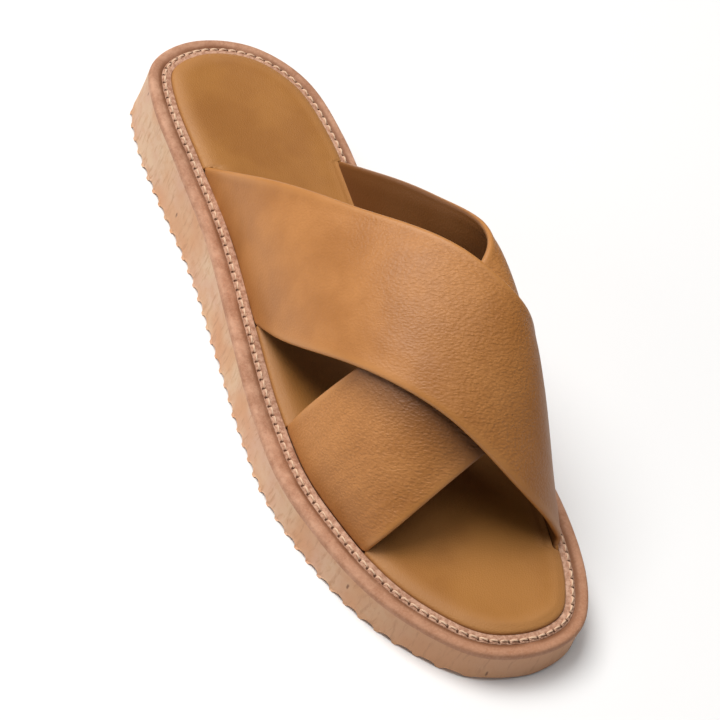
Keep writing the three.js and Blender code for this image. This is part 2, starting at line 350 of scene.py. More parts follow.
class Bench:
    """The hand tools: each works on one piece through Blender's own operators."""

    @staticmethod
    def take(piece: Piece) -> None:
        """Leaves a piece as the only one selected, and the active one.

        Args:
            piece: The piece to take.
        """
        bpy.ops.object.select_all(action="DESELECT")
        piece.select_set(True)
        bpy.context.view_layer.objects.active = piece

    @staticmethod
    def named(name: str) -> Piece:
        """Names the primitive that was just added.

        Args:
            name: The name for it and its mesh.

        Returns:
            The primitive.
        """
        piece = bpy.context.object
        piece.name = piece.data.name = name
        return piece

    @staticmethod
    def coords(piece: Piece) -> Array:
        """The places of a piece's vertices.

        Args:
            piece: The piece to read.

        Returns:
            One row of x, y and z for each vertex.
        """
        flat = np.empty(len(piece.data.vertices) * 3, np.float32)
        piece.data.vertices.foreach_get("co", flat)
        return flat.reshape(-1, 3).astype(float)

    @staticmethod
    def lay(piece: Piece, coords: Array) -> None:
        """Puts a piece's vertices at new places."""
        piece.data.vertices.foreach_set("co", np.asarray(coords, np.float32).ravel())
        piece.data.update()

    @staticmethod
    def write(piece: Piece, name: str, values: Array) -> None:
        """Keeps a number at each vertex under a name."""
        kept = piece.data.attributes.get(name) or piece.data.attributes.new(name, "FLOAT", "POINT")
        kept.data.foreach_set("value", np.asarray(values, np.float32))

    @staticmethod
    def read(piece: Piece, name: str) -> Array:
        """The numbers kept at the vertices under a name.

        Args:
            piece: The piece to read.
            name: The name that they are kept under.

        Returns:
            One number for each vertex.
        """
        values = np.empty(len(piece.data.vertices), np.float32)
        piece.data.attributes[name].data.foreach_get("value", values)
        return values.astype(float)

    @staticmethod
    def edge_ends(piece: Piece) -> Array:
        """The two vertices of each edge.

        Args:
            piece: The piece to read.

        Returns:
            A pair of vertex numbers for each edge.
        """
        flat = np.empty(len(piece.data.edges) * 2, np.int32)
        piece.data.edges.foreach_get("vertices", flat)
        return flat.reshape(-1, 2)

    @staticmethod
    def pick(piece: Piece, part: Part, chosen: Array) -> None:
        """Goes into edit mode with some elements selected.

        Args:
            piece: The piece under way.
            part: Whether vertices, edges or faces are picked.
            chosen: A mask of the elements to select.
        """
        Bench.take(piece)
        bpy.context.tool_settings.mesh_select_mode = [kind is part for kind in Part]
        bpy.ops.object.mode_set(mode="EDIT")
        bpy.ops.mesh.select_all(action="DESELECT")
        bpy.ops.object.mode_set(mode="OBJECT")
        mesh = piece.data
        elements = {Part.VERTS: mesh.vertices, Part.EDGES: mesh.edges, Part.FACES: mesh.polygons}[part]
        elements.foreach_set("select", np.asarray(chosen, bool))
        bpy.ops.object.mode_set(mode="EDIT")

    @staticmethod
    def picked(piece: Piece) -> Array:
        """Leaves edit mode and reads which vertices are selected.

        Args:
            piece: The piece under way.

        Returns:
            The mask of the selected vertices.
        """
        bpy.ops.object.mode_set(mode="OBJECT")
        mask = np.empty(len(piece.data.vertices), bool)
        piece.data.vertices.foreach_get("select", mask)
        return mask

    @staticmethod
    def face_outwards(piece: Piece) -> None:
        """Turns every face of a closed piece outwards.

        Args:
            piece: The piece to turn.
        """
        Bench.pick(piece, Part.FACES, np.ones(len(piece.data.polygons), bool))
        bpy.ops.mesh.normals_make_consistent(inside=False)
        bpy.ops.object.mode_set(mode="OBJECT")

    @staticmethod
    def refine(piece: Piece, kind: str, **settings: Any) -> None:
        """Adds a modifier to a piece and applies it.

        Args:
            piece: The piece under way.
            kind: The modifier's type.
            settings: The modifier's own settings.
        """
        Bench.take(piece)
        modifier = piece.modifiers.new(kind.lower(), kind)
        for name, value in settings.items():
            setattr(modifier, name, value)
        bpy.ops.object.modifier_apply(modifier=modifier.name)

    @staticmethod
    def smooth(piece: Piece, angle: float) -> None:
        """Shades a piece smooth where its faces meet at less than an angle, in degrees."""
        Bench.take(piece)
        bpy.ops.object.shade_smooth_by_angle(angle=math.radians(angle))

    @staticmethod
    def repeat(piece: Piece, places: Sequence[Matrix]) -> None:
        """Sets copies of a small piece at many places, joined into its own mesh.

        Args:
            piece: The piece, made round the origin.
            places: Where each copy goes.
        """
        coords = Bench.coords(piece)
        faces = [list(face.vertices) for face in piece.data.polygons]
        kept = {a.name: Bench.read(piece, a.name) for a in piece.data.attributes
                if a.data_type == "FLOAT" and a.domain == "POINT"}
        joined = np.concatenate([coords @ np.array(m.to_3x3()).T + np.array(m.translation) for m in places])
        copies = [[v + k * len(coords) for v in face] for k in range(len(places)) for face in faces]
        mesh = bpy.data.meshes.new(piece.name)
        mesh.from_pydata(joined.tolist(), [], copies)
        piece.data = mesh
        for name, values in kept.items():
            Bench.write(piece, name, np.tile(values, len(places)))


class Loft:
    """A skin that starts as one circle and is drawn on row by row, each row laid where the pattern says."""

    def __init__(self, name: str, angles: Array) -> None:
        """Adds the circle, with one vertex for each angle.

        Args:
            name: The piece's name.
            angles: Where the vertices stand round the piece, in radians.
        """
        bpy.ops.object.select_all(action="DESELECT")
        bpy.ops.mesh.primitive_circle_add(vertices=len(angles), fill_type="NOTHING")
        self.piece = Bench.named(name)
        self.rows = 0
        Bench.write(self.piece, "angle", angles)
        Bench.write(self.piece, "row", np.zeros(len(angles)))
        Bench.pick(self.piece, Part.VERTS, np.ones(len(angles), bool))

    def lay(self, place: Place, marks: dict[str, float] | None = None) -> None:
        """Lays the selected row and keeps its marks.

        Args:
            place: Gives the points at the row's angles.
            marks: Numbers to keep along the whole row, by name.
        """
        mask = Bench.picked(self.piece)
        coords = Bench.coords(self.piece)
        coords[mask] = place(Bench.read(self.piece, "angle")[mask])
        Bench.lay(self.piece, coords)
        for name, value in {"row": float(self.rows), **(marks or {})}.items():
            known = name in self.piece.data.attributes
            values = Bench.read(self.piece, name) if known else np.full(len(coords), value)
            values[mask] = value
            Bench.write(self.piece, name, values)
        bpy.ops.object.mode_set(mode="EDIT")

    def draw(self, place: Place, marks: dict[str, float] | None = None) -> None:
        """Extrudes the last row into a new one and lays that.

        Args:
            place: Gives the points at the row's angles.
            marks: Numbers to keep along the whole row, by name.
        """
        bpy.context.tool_settings.mesh_select_mode = (False, True, False)
        bpy.ops.mesh.extrude_edges_indiv()
        self.rows += 1
        self.lay(place, marks)

    def draw_out(self, rows: int) -> None:
        """Extrudes the last row many times over, to be laid all at once.

        Args:
            rows: How many rows to add.
        """
        ring = len(Bench.picked(self.piece))
        Bench.pick(self.piece, Part.EDGES, np.ones(ring, bool))
        for _ in range(rows):
            bpy.ops.mesh.extrude_edges_indiv()
        bpy.ops.object.mode_set(mode="OBJECT")
        Bench.write(self.piece, "row", np.arange(len(self.piece.data.vertices)) // ring)
        self.rows = rows

    def _row_edges(self, row: int, across_tips: bool) -> Array:
        """Finds one row's own edges.

        Args:
            row: The row's number.
            across_tips: Whether the two edges that cross the heel and toe tips count.

        Returns:
            A mask of the edges.
        """
        bpy.ops.object.mode_set(mode="OBJECT")
        ends = Bench.edge_ends(self.piece)
        rows = np.round(Bench.read(self.piece, "row")).astype(int)
        side = Bench.read(self.piece, "angle") > math.pi
        mask = (rows[ends] == row).all(1)
        return mask if across_tips else mask & (side[ends[:, 0]] == side[ends[:, 1]])

    def close_across(self, row: int, cuts: int = 0) -> None:
        """Closes a row with rungs from its outer side to its inner side.

        Args:
            row: The row to close.
            cuts: How many times each rung is parted.
        """
        Bench.pick(self.piece, Part.EDGES, self._row_edges(row, across_tips=False))
        bpy.ops.mesh.bridge_edge_loops(number_cuts=cuts, interpolation="LINEAR")

    def close_round(self) -> None:
        """Joins the last row to the first, so that the skin is a closed ring."""
        Bench.pick(self.piece, Part.EDGES, self._row_edges(0, True) | self._row_edges(self.rows, True))
        bpy.ops.mesh.bridge_edge_loops()

    def cap(self, row: int) -> None:
        """Closes a small row with one face."""
        Bench.pick(self.piece, Part.EDGES, self._row_edges(row, across_tips=True))
        bpy.ops.mesh.edge_face_add()

    def done(self, smooth_angle: float) -> Piece:
        """Turns the faces outwards and shades the piece.

        Args:
            smooth_angle: Faces that meet at less than this, in degrees, are shaded as one.

        Returns:
            The finished piece.
        """
        bpy.ops.object.mode_set(mode="OBJECT")
        Bench.face_outwards(self.piece)
        Bench.smooth(self.piece, smooth_angle)
        return self.piece


class Socket:
    """One value or colour in a material's graph, with maths written as Python expressions."""

    def __init__(self, graph: "Graph", port: bpy.types.NodeSocket) -> None:
        """Wraps a node's output."""
        self.graph = graph
        self.port = port

    def __add__(self, other: "Socket | float") -> "Socket":
        """Sum."""
        return self.graph.maths("ADD", self, other)

    def __sub__(self, other: "Socket | float") -> "Socket":
        """Difference."""
        return self.graph.maths("SUBTRACT", self, other)

    def __mul__(self, other: "Socket | float") -> "Socket":
        """Product."""
        return self.graph.maths("MULTIPLY", self, other)

    def __pow__(self, other: "Socket | float") -> "Socket":
        """Power."""
        return self.graph.maths("POWER", self, other)

    def __rsub__(self, other: float) -> "Socket":
        """Difference from a plain number."""
        return self.graph.maths("SUBTRACT", other, self)

    __radd__ = __add__
    __rmul__ = __mul__

    def between(self, low: float, high: float) -> "Socket":
        """The smooth share of the way from low to high."""
        return self.graph.node("ShaderNodeMapRange", {"interpolation_type": "SMOOTHSTEP"},
                               {"Value": self, "From Min": low, "From Max": high})


class Graph:
    """A new material's nodes."""

    TOE_STRETCH = (0.06, 0.135)

    def __init__(self, name: str) -> None:
        """Adds an empty material with its shader and output.

        Args:
            name: The material's name.
        """
        self.material = bpy.data.materials.new(name)
        self.material.use_nodes = True
        self.tree = self.material.node_tree
        self.tree.nodes.clear()

    def node(self, kind: str, settings: dict[str, Any] | None = None,
             inputs: dict[Any, Any] | None = None, output: int | str = 0) -> Socket:
        """Adds a node.

        Args:
            kind: The node's type.
            settings: Its own settings, set first.
            inputs: Values or links for its sockets, by name or number.
            output: Which of its outputs is wanted.

        Returns:
            The wanted output.
        """
        made = self.tree.nodes.new(kind)
        for name, value in (settings or {}).items():
            setattr(made, name, value)
        for key, value in (inputs or {}).items():
            if isinstance(value, Socket):
                self.tree.links.new(value.port, made.inputs[key])
            else:
                made.inputs[key].default_value = value
        return Socket(self, made.outputs[output])

    def maths(self, operation: str, *values: "Socket | float") -> Socket:
        """One Math node on values or links."""
        return self.node("ShaderNodeMath", {"operation": operation}, dict(enumerate(values)))

    def blend(self, share: "Socket | float", low: Any, high: Any, kind: str = "MIX") -> Socket:
        """Mixes two colours by a share."""
        settings = {"data_type": "RGBA", "blend_type": kind, "clamp_factor": True}
        return self.node("ShaderNodeMix", settings, {0: share, 6: low, 7: high}, 2)

    def attribute(self, name: str) -> Socket:
        """The number that is kept at the vertices under a name."""
        return self.node("ShaderNodeAttribute", {"attribute_name": name}, output="Fac")

    def place(self) -> Socket:
        """The place on the piece, in metres."""
        return self.node("ShaderNodeTexCoord", output="Object")

    def towards_toe(self, place: Socket) -> Socket:
        """Rises from 0 at the ball to 1 at the toe's tip."""
        ahead = 0 - self.node("ShaderNodeSeparateXYZ", inputs={0: place}, output="Y")
        return ahead.between(*self.TOE_STRETCH)

    def turned(self, place: Socket, degrees: float) -> Socket:
        """A place turned about the upright axis."""
        rotation = (0, 0, -math.radians(degrees))
        return self.node("ShaderNodeMapping", inputs={"Vector": place, "Rotation": rotation})

    def stretched(self, place: Socket, scale: tuple[float, float, float]) -> Socket:
        """A place scaled by its own number along each axis."""
        return self.node("ShaderNodeMapping", inputs={"Vector": place, "Scale": scale})

    def noise(self, place: Socket, size: float, detail: float = 2.0, rough: float = 0.5) -> Socket:
        """Soft noise from 0 to 1.

        Args:
            place: Where it is read.
            size: The width of its blotches, in the place's own unit.
            detail: How many finer layers it has.
            rough: How strong the finer layers are.

        Returns:
            The noise.
        """
        inputs = {"Vector": place, "Scale": 1 / size, "Detail": detail, "Roughness": rough}
        return self.node("ShaderNodeTexNoise", inputs=inputs)

    def warped(self, place: Socket, size: float, reach: float) -> Socket:
        """A place moved about by noise, so that a pattern on it isn't regular.

        Args:
            place: The place before it is moved.
            size: The width of the noise's blotches.
            reach: How far it moves at most, to both sides together.

        Returns:
            The moved place.
        """
        inputs = {"Vector": place, "Scale": 1 / size, "Detail": 2.0}
        stir = self.node("ShaderNodeTexNoise", inputs=inputs, output="Color")
        centred = self.node("ShaderNodeVectorMath", {"operation": "SUBTRACT"}, {0: stir, 1: (0.5,) * 3})
        moved = self.node("ShaderNodeVectorMath", {"operation": "SCALE"}, {0: centred, "Scale": reach})
        return self.node("ShaderNodeVectorMath", {"operation": "ADD"}, {0: place, 1: moved})

    def cells(self, place: Socket, size: float, feature: str, output: str = "Distance") -> Socket:
        """A pattern of cells of one size."""
        return self.node("ShaderNodeTexVoronoi", {"feature": feature},
                         {"Vector": place, "Scale": 1 / size}, output)

    def bump(self, height: Socket, depth: float, strength: float = 1.0) -> Socket:
        """Turns a height from 0 to 1 into a normal, with its real depth in metres."""
        return self.node("ShaderNodeBump", inputs={"Height": height, "Distance": depth, "Strength": strength})

    def finish(self, links: dict[str, Any], constants: dict[str, Any]) -> bpy.types.Material:
        """Adds the shader and gives the material back.

        Args:
            links: What changes over the surface.
            constants: What is the same all over.

        Returns:
            The finished material.
        """
        shader = self.node("ShaderNodeBsdfPrincipled", inputs={**constants, **links})
        self.node_output(shader)
        return self.material

    def node_output(self, shader: Socket) -> None:
        """Adds the output node."""
        out = self.tree.nodes.new("ShaderNodeOutputMaterial")
        self.tree.links.new(shader.port, out.inputs["Surface"])


def paint(red: int, green: int, blue: int) -> tuple[float, float, float, float]:
    """Turns a colour as the eye names it into the linear light that shaders use.

    Args:
        red: Its red, from 0 to 255.
        green: Its green.
        blue: Its blue.

    Returns:
        The linear colour, with full cover.
    """
    def linear(channel: int) -> float:
        """One channel in linear light."""
        c = channel / 255
        return c / 12.92 if c <= 0.04045 else ((c + 0.055) / 1.055) ** 2.4

    return linear(red), linear(green), linear(blue), 1.0


@dataclass(frozen=True)
class StrapLeather:
    """Tan leather with a fine pebbled grain, smoother towards its turned edges. Its colour also carries
    painted light: shade in the grain's valleys, over the darker lining of the inner faces, on the over
    strap's inner side and under the over strap's front edge, and a highlight over the burnish of the turned
    edges.
    """

    light: tuple = paint(188, 126, 66)
    deep: tuple = paint(168, 108, 50)
    # Painted shade in the valleys of the grain.
    crease: tuple = paint(136, 82, 32)
    # Turned edges: partly burnish, partly a painted highlight on the rounded edge.
    edge: tuple = paint(192, 132, 72)
    # The inner faces' darker lining, painted darker still with the shade inside the straps.
    inside: tuple = paint(100, 57, 18)
    # Painted shadow under the over strap's front edge.
    shadow: tuple = paint(84, 46, 16)
    # Painted shade on the over strap's inner side, which faces away from the light.
    inner_side_shade: tuple = paint(160, 98, 34)
    pebble: float = 0.78 * MM
    wrinkle: float = 0.85 * MM
    grain_depth: float = 0.2 * MM
    heading: float = -27.0
    level_stretch: tuple = (0.58, 1.0, 1.0)
    wave_stretch: tuple = (0.42, 1.0, 1.0)
    pore: float = 0.35 * MM
    cloud: float = 26 * MM
    still_grain: float = 0.28
    worked_grain: float = 0.72
    roughness: float = 0.5
    specular: float = 0.45
    coat: float = 0.1
    coat_roughness: float = 0.42

    def make(self) -> bpy.types.Material:
        """Builds the material.

        Returns:
            The finished material.
        """
        g = Graph("strap_leather")
        place = g.place()
        flex = g.attribute("flex")
        edge = g.attribute("edge")
        headed = g.turned(place, self.heading)
        inside = g.attribute("inside")
        level = g.stretched(g.warped(headed, 2.4 * MM, 0.8 * MM), self.level_stretch)
        pebbles = 1 - g.cells(level, self.pebble, "SMOOTH_F1").between(0.1, 0.75)
        waves = g.noise(g.stretched(headed, self.wave_stretch), self.wrinkle, 2.0, 0.55).between(0.3, 0.7)
        raised = self.still_grain + self.worked_grain * flex
        strength = raised * (1 - 0.7 * edge) * (1 - 0.4 * inside)
        grain = (pebbles * 0.65 + waves * 0.45) * strength
        pores = g.noise(place, self.pore, 2.0)
        height = grain + pores * 0.06
        cloud = g.noise(place, self.cloud, 3.0, 0.55).between(0.3, 0.7)
        # Painted shade: the over strap's tone darkens towards its inner side.
        tone = g.blend(g.attribute("inner_side_shade") * 0.8, g.blend(cloud, self.deep, self.light), self.inner_side_shade)
        # Painted shade: darker in the valleys of the grain.
        creased = g.blend((1 - pebbles) * strength * 0.25, tone, self.crease)
        # The turned edges painted a little lighter: partly burnish, partly a painted highlight on the rounded
        # edge.
        rimmed = g.blend(edge * 0.4, creased, self.edge)
        # Painted shadow: the under strap darkens beside the over strap's front edge.
        shadow_painted = g.blend(g.attribute("shadow") * 0.78, rimmed, self.shadow)
        # The inner faces: a darker lining, painted darker still with the shade that falls inside the straps.
        shade = g.blend(inside * 0.85, shadow_painted, self.inside)
        roughness = self.roughness - 0.06 * edge + 0.1 * (1 - pebbles) * strength + 0.1 * (cloud - 0.5)
        return g.finish({"Base Color": shade, "Roughness": roughness,
                         "Normal": g.bump(height, self.grain_depth)},
                        {"Specular IOR Level": self.specular, "Coat Weight": self.coat,
                         "Coat Roughness": self.coat_roughness})


@dataclass(frozen=True)
class InsoleLeather:
    """Smooth tan footbed leather with faint pores and soft tonal clouds."""

    light: tuple = paint(170, 114, 52)
    deep: tuple = paint(154, 99, 41)
    roll: tuple = paint(186, 132, 80)
    grain_depth: float = 0.08 * MM
    cloud: float = 34 * MM
    cell: float = 0.9 * MM
    pore: float = 0.5 * MM
    rub: float = 12 * MM
    roughness: float = 0.5
    specular: float = 0.42

    def make(self) -> bpy.types.Material:
        """Builds the material.

        Returns:
            The finished material.
        """
        g = Graph("insole_leather")
        place = g.place()
        cloud = g.noise(place, self.cloud, 3.0, 0.55).between(0.32, 0.68)
        stirred = g.warped(place, 1.6 * MM, 0.6 * MM)
        grain = g.cells(stirred, self.cell, "DISTANCE_TO_EDGE").between(0.0, 0.3)
        fine = g.noise(place, self.pore, 2.0)
        tone = g.blend(cloud, self.deep, self.light)
        shade = g.blend(g.attribute("edge") * 0.6, tone, self.roll)
        rub = g.noise(place, self.rub, 2.0)
        return g.finish({"Base Color": shade, "Roughness": self.roughness + 0.12 * rub,
                         "Normal": g.bump(grain * 0.6 + fine * 0.4, self.grain_depth)},
                        {"Specular IOR Level": self.specular})


@dataclass(frozen=True)
class RunnerLeather:
    """Pinkish brown leather of the midsole, burnished on the bead and darker in the groove inside it, partly
    darker leather and partly painted shade.
    """

    light: tuple = paint(203, 155, 126)
    deep: tuple = paint(168, 118, 89)
    # The groove's darker leather, deepened with painted shade.
    groove: tuple = paint(124, 78, 48)
    toe: tuple = paint(176, 122, 88)
    grain_depth: float = 0.3 * MM
    cloud: float = 7 * MM
    speck: float = 0.9 * MM
    blot: float = 2.6 * MM
    patch: float = 20 * MM
    roughness: float = 0.62
    specular: float = 0.4

    def make(self) -> bpy.types.Material:
        """Builds the material.

        Returns:
            The finished material.
        """
        g = Graph("midsole_leather")
        place = g.place()
        cloud = g.noise(place, self.cloud, 4.0, 0.65).between(0.34, 0.66)
        specks = g.noise(place, self.speck, 3.0, 0.65)
        tone = g.blend(cloud, self.deep, self.light)
        # Darker and warmer towards the toe.
        toe_tinted = g.blend(g.towards_toe(place) * 0.7, tone, self.toe)
        blots = g.noise(place, self.blot, 3.0, 0.65).between(0.42, 0.68)
        mottled = g.blend((specks - 0.42) * 1.6, g.blend(blots * 0.4, toe_tinted, self.deep), self.light)
        patch = g.noise(place, self.patch, 2.0).between(0.3, 0.62)
        # Darker in the groove, in patches: partly darker leather, partly painted shade.
        dark = g.attribute("groove") * (0.45 + 0.5 * patch)
        shade = g.blend(dark, mottled, self.groove)
        return g.finish({"Base Color": shade, "Roughness": self.roughness + 0.15 * specks,
                         "Normal": g.bump(specks, self.grain_depth)}, {"Specular IOR Level": self.specular})


@dataclass(frozen=True)
class WeltLeather:
    """Rough pinkish strip, mottled with cream, with the shade of a pricked hole painted between two stitches.
    """

    light: tuple = paint(210, 168, 142)
    deep: tuple = paint(162, 115, 90)
    # Painted shade of the pricked hole.
    hole: tuple = paint(84, 50, 32)
    hole_radius: float = 0.58 * MM
    grain_depth: float = 0.3 * MM
    nap: float = 0.7 * MM
    mottle: float = 1.8 * MM
    patch: float = 22 * MM
    roughness: float = 0.75
    specular: float = 0.25

    def make(self) -> bpy.types.Material:
        """Builds the material.

        Returns:
            The finished material.
        """
        g = Graph("welt_leather")
        place = g.place()
        nap = g.noise(place, self.nap, 4.0, 0.7)
        mottle = g.noise(place, self.mottle, 3.0, 0.6).between(0.36, 0.64)
        patch = g.noise(place, self.patch, 2.0).between(0.36, 0.64)
        tone = g.blend(mottle * 0.75 + 0.25 * patch, self.deep, self.light)
        along = g.attribute("off_hole")
        across = g.attribute("off_row")
        away = (along * along + across * across) ** 0.5
        # Painted shade: a dark disc where the pricked hole lies, which the strip itself only dimples.
        open_hole = 1 - away.between(0.6 * self.hole_radius, 1.3 * self.hole_radius)
        shade = g.blend(open_hole, tone, self.hole)
        height = nap - open_hole
        return g.finish({"Base Color": shade, "Roughness": self.roughness + 0.15 * nap,
                         "Normal": g.bump(height, self.grain_depth)}, {"Specular IOR Level": self.specular})


@dataclass(frozen=True)
class Crepe:
    """Pale natural crepe, with soft clouds, faint upright streaks and a few small dark nicks."""

    cream: tuple = paint(212, 181, 150)
    pink: tuple = paint(206, 164, 138)
    amber: tuple = paint(204, 148, 104)
    toe: tuple = paint(198, 146, 108)
    soil: tuple = paint(180, 132, 98)
    nick: tuple = paint(104, 70, 50)
    grain_depth: float = 0.12 * MM
    cloud: float = 17 * MM
    patch: float = 24 * MM
    streak: float = 1.6 * MM
    streak_stretch: tuple = (1.0, 1.0, 0.16)
    blot: float = 3.4 * MM
    nick_spacing: float = 6 * MM
    nick_stretch: tuple = (1.0, 1.0, 0.4)
    nick_patch: float = 7 * MM
    grit: float = 0.6 * MM
    roughness: float = 0.62
    specular: float = 0.35

    def make(self) -> bpy.types.Material:
        """Builds the material.

        Returns:
            The finished material.
        """
        g = Graph("crepe")
        place = g.place()
        cloud = g.noise(place, self.cloud, 3.0, 0.55).between(0.3, 0.7)
        warm = g.noise(g.warped(place, 30 * MM, 12 * MM), self.patch, 2.0).between(0.42, 0.68)
        tone = g.blend(warm * 0.7, g.blend(cloud, self.pink, self.cream), self.amber)
        upright = g.stretched(g.warped(place, 9 * MM, 3 * MM), self.streak_stretch)
        streak = g.noise(upright, self.streak, 3.0, 0.6)
        # Darker and warmer towards the toe.
        toe_tinted = g.blend(g.towards_toe(place) * 0.75, tone, self.toe)
        blots = g.noise(g.warped(place, 5 * MM, 4 * MM), self.blot, 4.0, 0.65).between(0.44, 0.7)
        lined = g.blend(streak.between(0.52, 0.72) * 0.6, g.blend(blots * 0.45, toe_tinted, self.toe), self.soil)
        stirred = g.stretched(g.warped(place, 3 * MM, 1.2 * MM), self.nick_stretch)
        sparse = g.cells(stirred, self.nick_spacing, "F1")
        chance = g.noise(place, self.nick_patch, 1.0).between(0.44, 0.56)
        nicks = (1 - sparse.between(0.05, 0.12)) * chance
        shade = g.blend(nicks * 0.75, lined, self.nick)
        grit = g.noise(place, self.grit, 3.0, 0.6)
        height = grit * 0.5 + streak * 0.4 - nicks
        return g.finish({"Base Color": shade, "Roughness": self.roughness + 0.12 * grit,
                         "Normal": g.bump(height, self.grain_depth)}, {"Specular IOR Level": self.specular})


@dataclass(frozen=True)
class Thread:
    """Waxed thread of one cream ply and one pink ply."""

    cream: tuple = paint(228, 194, 164)
    pink: tuple = paint(208, 164, 138)
    fibre: float = 0.18 * MM
    fibre_depth: float = 0.05 * MM
    soil: float = 9 * MM
    roughness: float = 0.6
    specular: float = 0.3

    def make(self) -> bpy.types.Material:
        """Builds the material.

        Returns:
            The finished material.
        """
        g = Graph("stitch_thread")
        place = g.place()
        fibre = g.noise(place, self.fibre, 2.0)
        soil = g.noise(place, self.soil, 2.0).between(0.35, 0.7)
        ply = g.attribute("ply")
        tone = g.blend(ply * 0.8 + 0.25 * soil, self.cream, self.pink)
        return g.finish({"Base Color": tone, "Roughness": self.roughness + 0.15 * fibre,
                         "Normal": g.bump(fibre, self.fibre_depth)}, {"Specular IOR Level": self.specular})


def settle(piece: Piece, material: bpy.types.Material, node: str | None = None) -> None:
    """Dresses a finished piece and ties it to the frame.

    Args:
        piece: The finished piece.
        material: Its finish.
        node: The frame's node that it stands for, if any.
    """
    piece.data.materials.clear()
    piece.data.materials.append(material)
    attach(piece, BODY)
    if node:
        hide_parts(node)
    LOG.info("%s: %d faces", piece.name, len(piece.data.polygons))


@dataclass(frozen=True)
class Outsole:
    """The crepe unit: a smooth wall that flares at the floor, over ribs that run across the foot.

    Each row of the wall is a share of the way up it and a share of the flare. The ribs fade out into it.
    """

    pitch: float = 6.6 * MM
    crest: float = 1.2 * MM
    depth: float = 1.3 * MM
    lip: float = 0.45 * MM
    lip_play: float = 0.4 * MM
    under_gap: float = 0.03 * MM
    spacing: float = 1.6 * MM
    nearest: float = 0.45
    tip_share: float = 0.9995
    rib_ends: int = 176
    fade: int = 6
    smooth_angle: float = 32.0
    groove_lines: tuple = (0.0, 0.12, 0.5, 0.88, 1.0)
    wall_rows: tuple = ((0.03, 0.9), (0.12, 0.7), (0.3, 0.4), (0.5, 0.15), (0.7, 0.0), (0.9, 0.0), (1.0, 0.0))
    seed: int = 11

    def rise(self, y: Array) -> Array:
        """How far the ribbed foot stands off the floor: 0 on a crest, and arched between two.

        Args:
            y: Where along the foot.

        Returns:
            The rise at each y.
        """
        from_crest = np.abs((y / self.pitch + 0.5) % 1 - 0.5) * self.pitch
        groove = self.pitch / 2 - self.crest / 2
        share = np.clip((from_crest - self.crest / 2) / groove, 0, 1)
        return self.depth * np.sqrt(1 - (1 - share) ** 2)

    def angles(self, pattern: Pattern) -> Array:
        """Angles of the outline that include both edges of each rib, the same on both sides.

        Args:
            pattern: The sole's outline and heights.

        Returns:
            The rising angles.
        """
        half = pattern.sizes.length / 2
        count = int(half / self.pitch) + 1
        starts = np.arange(-count, count + 1) * self.pitch + self.crest / 2
        gap = self.pitch - self.crest
        lines = np.unique(np.concatenate([starts + gap * share for share in self.groove_lines]))
        lines = lines[np.abs(lines) < half * self.tip_share]
        ribs = np.arccos(lines / half)
        even = np.linspace(0, math.pi, int(math.pi * half / self.spacing))[1:-1]
        apart = np.abs(even[:, None] - ribs[None, :]).min(1) * half > self.nearest * self.spacing
        one_side = np.sort(np.concatenate([ribs, even[apart]]))
        return np.concatenate([one_side, 2 * math.pi - one_side[::-1]])

    def build(self, pattern: Pattern) -> Piece:
        """Draws the wall up from the ribbed foot and closes it.

        Args:
            pattern: The sole's outline and heights.

        Returns:
            The finished crepe unit.
        """
        flare = pattern.sizes.sole_flare
        play = np.random.default_rng(self.seed).uniform(0, self.lip_play, self.rib_ends)

        def foot(angle: Array) -> Array:
            """The foot of the wall, with each rib's end standing proud.

            Args:
                angle: Angles round the sole.

            Returns:
                The point at each angle.
            """
            y = pattern.rim(angle)[:, 1]
            rib = np.round(y / self.pitch).astype(int) + len(play) // 2
            proud = (self.lip + play[rib + (angle > math.pi)]) * (1 - self.rise(y) / self.depth)
            x = pattern.point(angle, -flare - proud)[:, 0]
            return np.column_stack([x, y, pattern.spring(y) + self.rise(y)])

        def wall(share: float) -> Callable[[Array], Array]:
            """The heights at a share of the way up the wall."""
            def height(y: Array) -> Array:
                """The height at each y."""
                ribbed = pattern.spring(y) + self.rise(y) * (1 - share) ** self.fade
                return mix(ribbed, pattern.under(y) - self.under_gap, share)

            return height

        loft = Loft("outsole_crepe", self.angles(pattern))
        loft.lay(foot)
        for share, flared in self.wall_rows:
            loft.draw(pattern.ring(-flared * flare, wall(share)))
        loft.close_across(0)
        loft.close_across(loft.rows)
        return loft.done(self.smooth_angle)


@dataclass(frozen=True)
class Midsole:
    """The leather runner: a rounded bead round the rim, with a groove and a flat bed inside it.

    Each row is a share of the bead's width, a drop from its top in millimetres and a share of the groove's
    darkening, which is partly darker leather and partly painted shade.
    """

    stations: int = 640
    smooth_angle: float = 60.0
    rows: tuple = (
        (0.0, 2.1, 0.0), (0.0, 1.6, 0.05), (0.02, 1.1, 0.1), (0.06, 0.65, 0.05), (0.13, 0.3, 0.0),
        (0.22, 0.09, 0.0), (0.34, 0.0, 0.0), (0.5, 0.0, 0.05), (0.66, 0.05, 0.2), (0.78, 0.13, 0.6),
        (0.88, 0.24, 0.95), (0.95, 0.32, 1.0), (1.02, 0.4, 1.0), (1.06, 0.7, 1.0), (1.12, 1.0, 1.0),
    )

    def build(self, pattern: Pattern) -> Piece:
        """Draws the bead from the underside over its ridge into the bed, and closes both faces.

        Args:
            pattern: The sole's outline and heights.

        Returns:
            The finished runner.
        """
        loft = Loft("midsole_runner", pattern.even_angles(self.stations, 0))
        loft.lay(pattern.ring(0.0, pattern.under), {"groove": 0.0})
        for share, drop, groove in self.rows:
            inset = share * pattern.sizes.bead_width
            loft.draw(pattern.ring(inset, pattern.top, -drop * MM), {"groove": groove})
        loft.close_across(0)
        loft.close_across(loft.rows)
        return loft.done(self.smooth_angle)


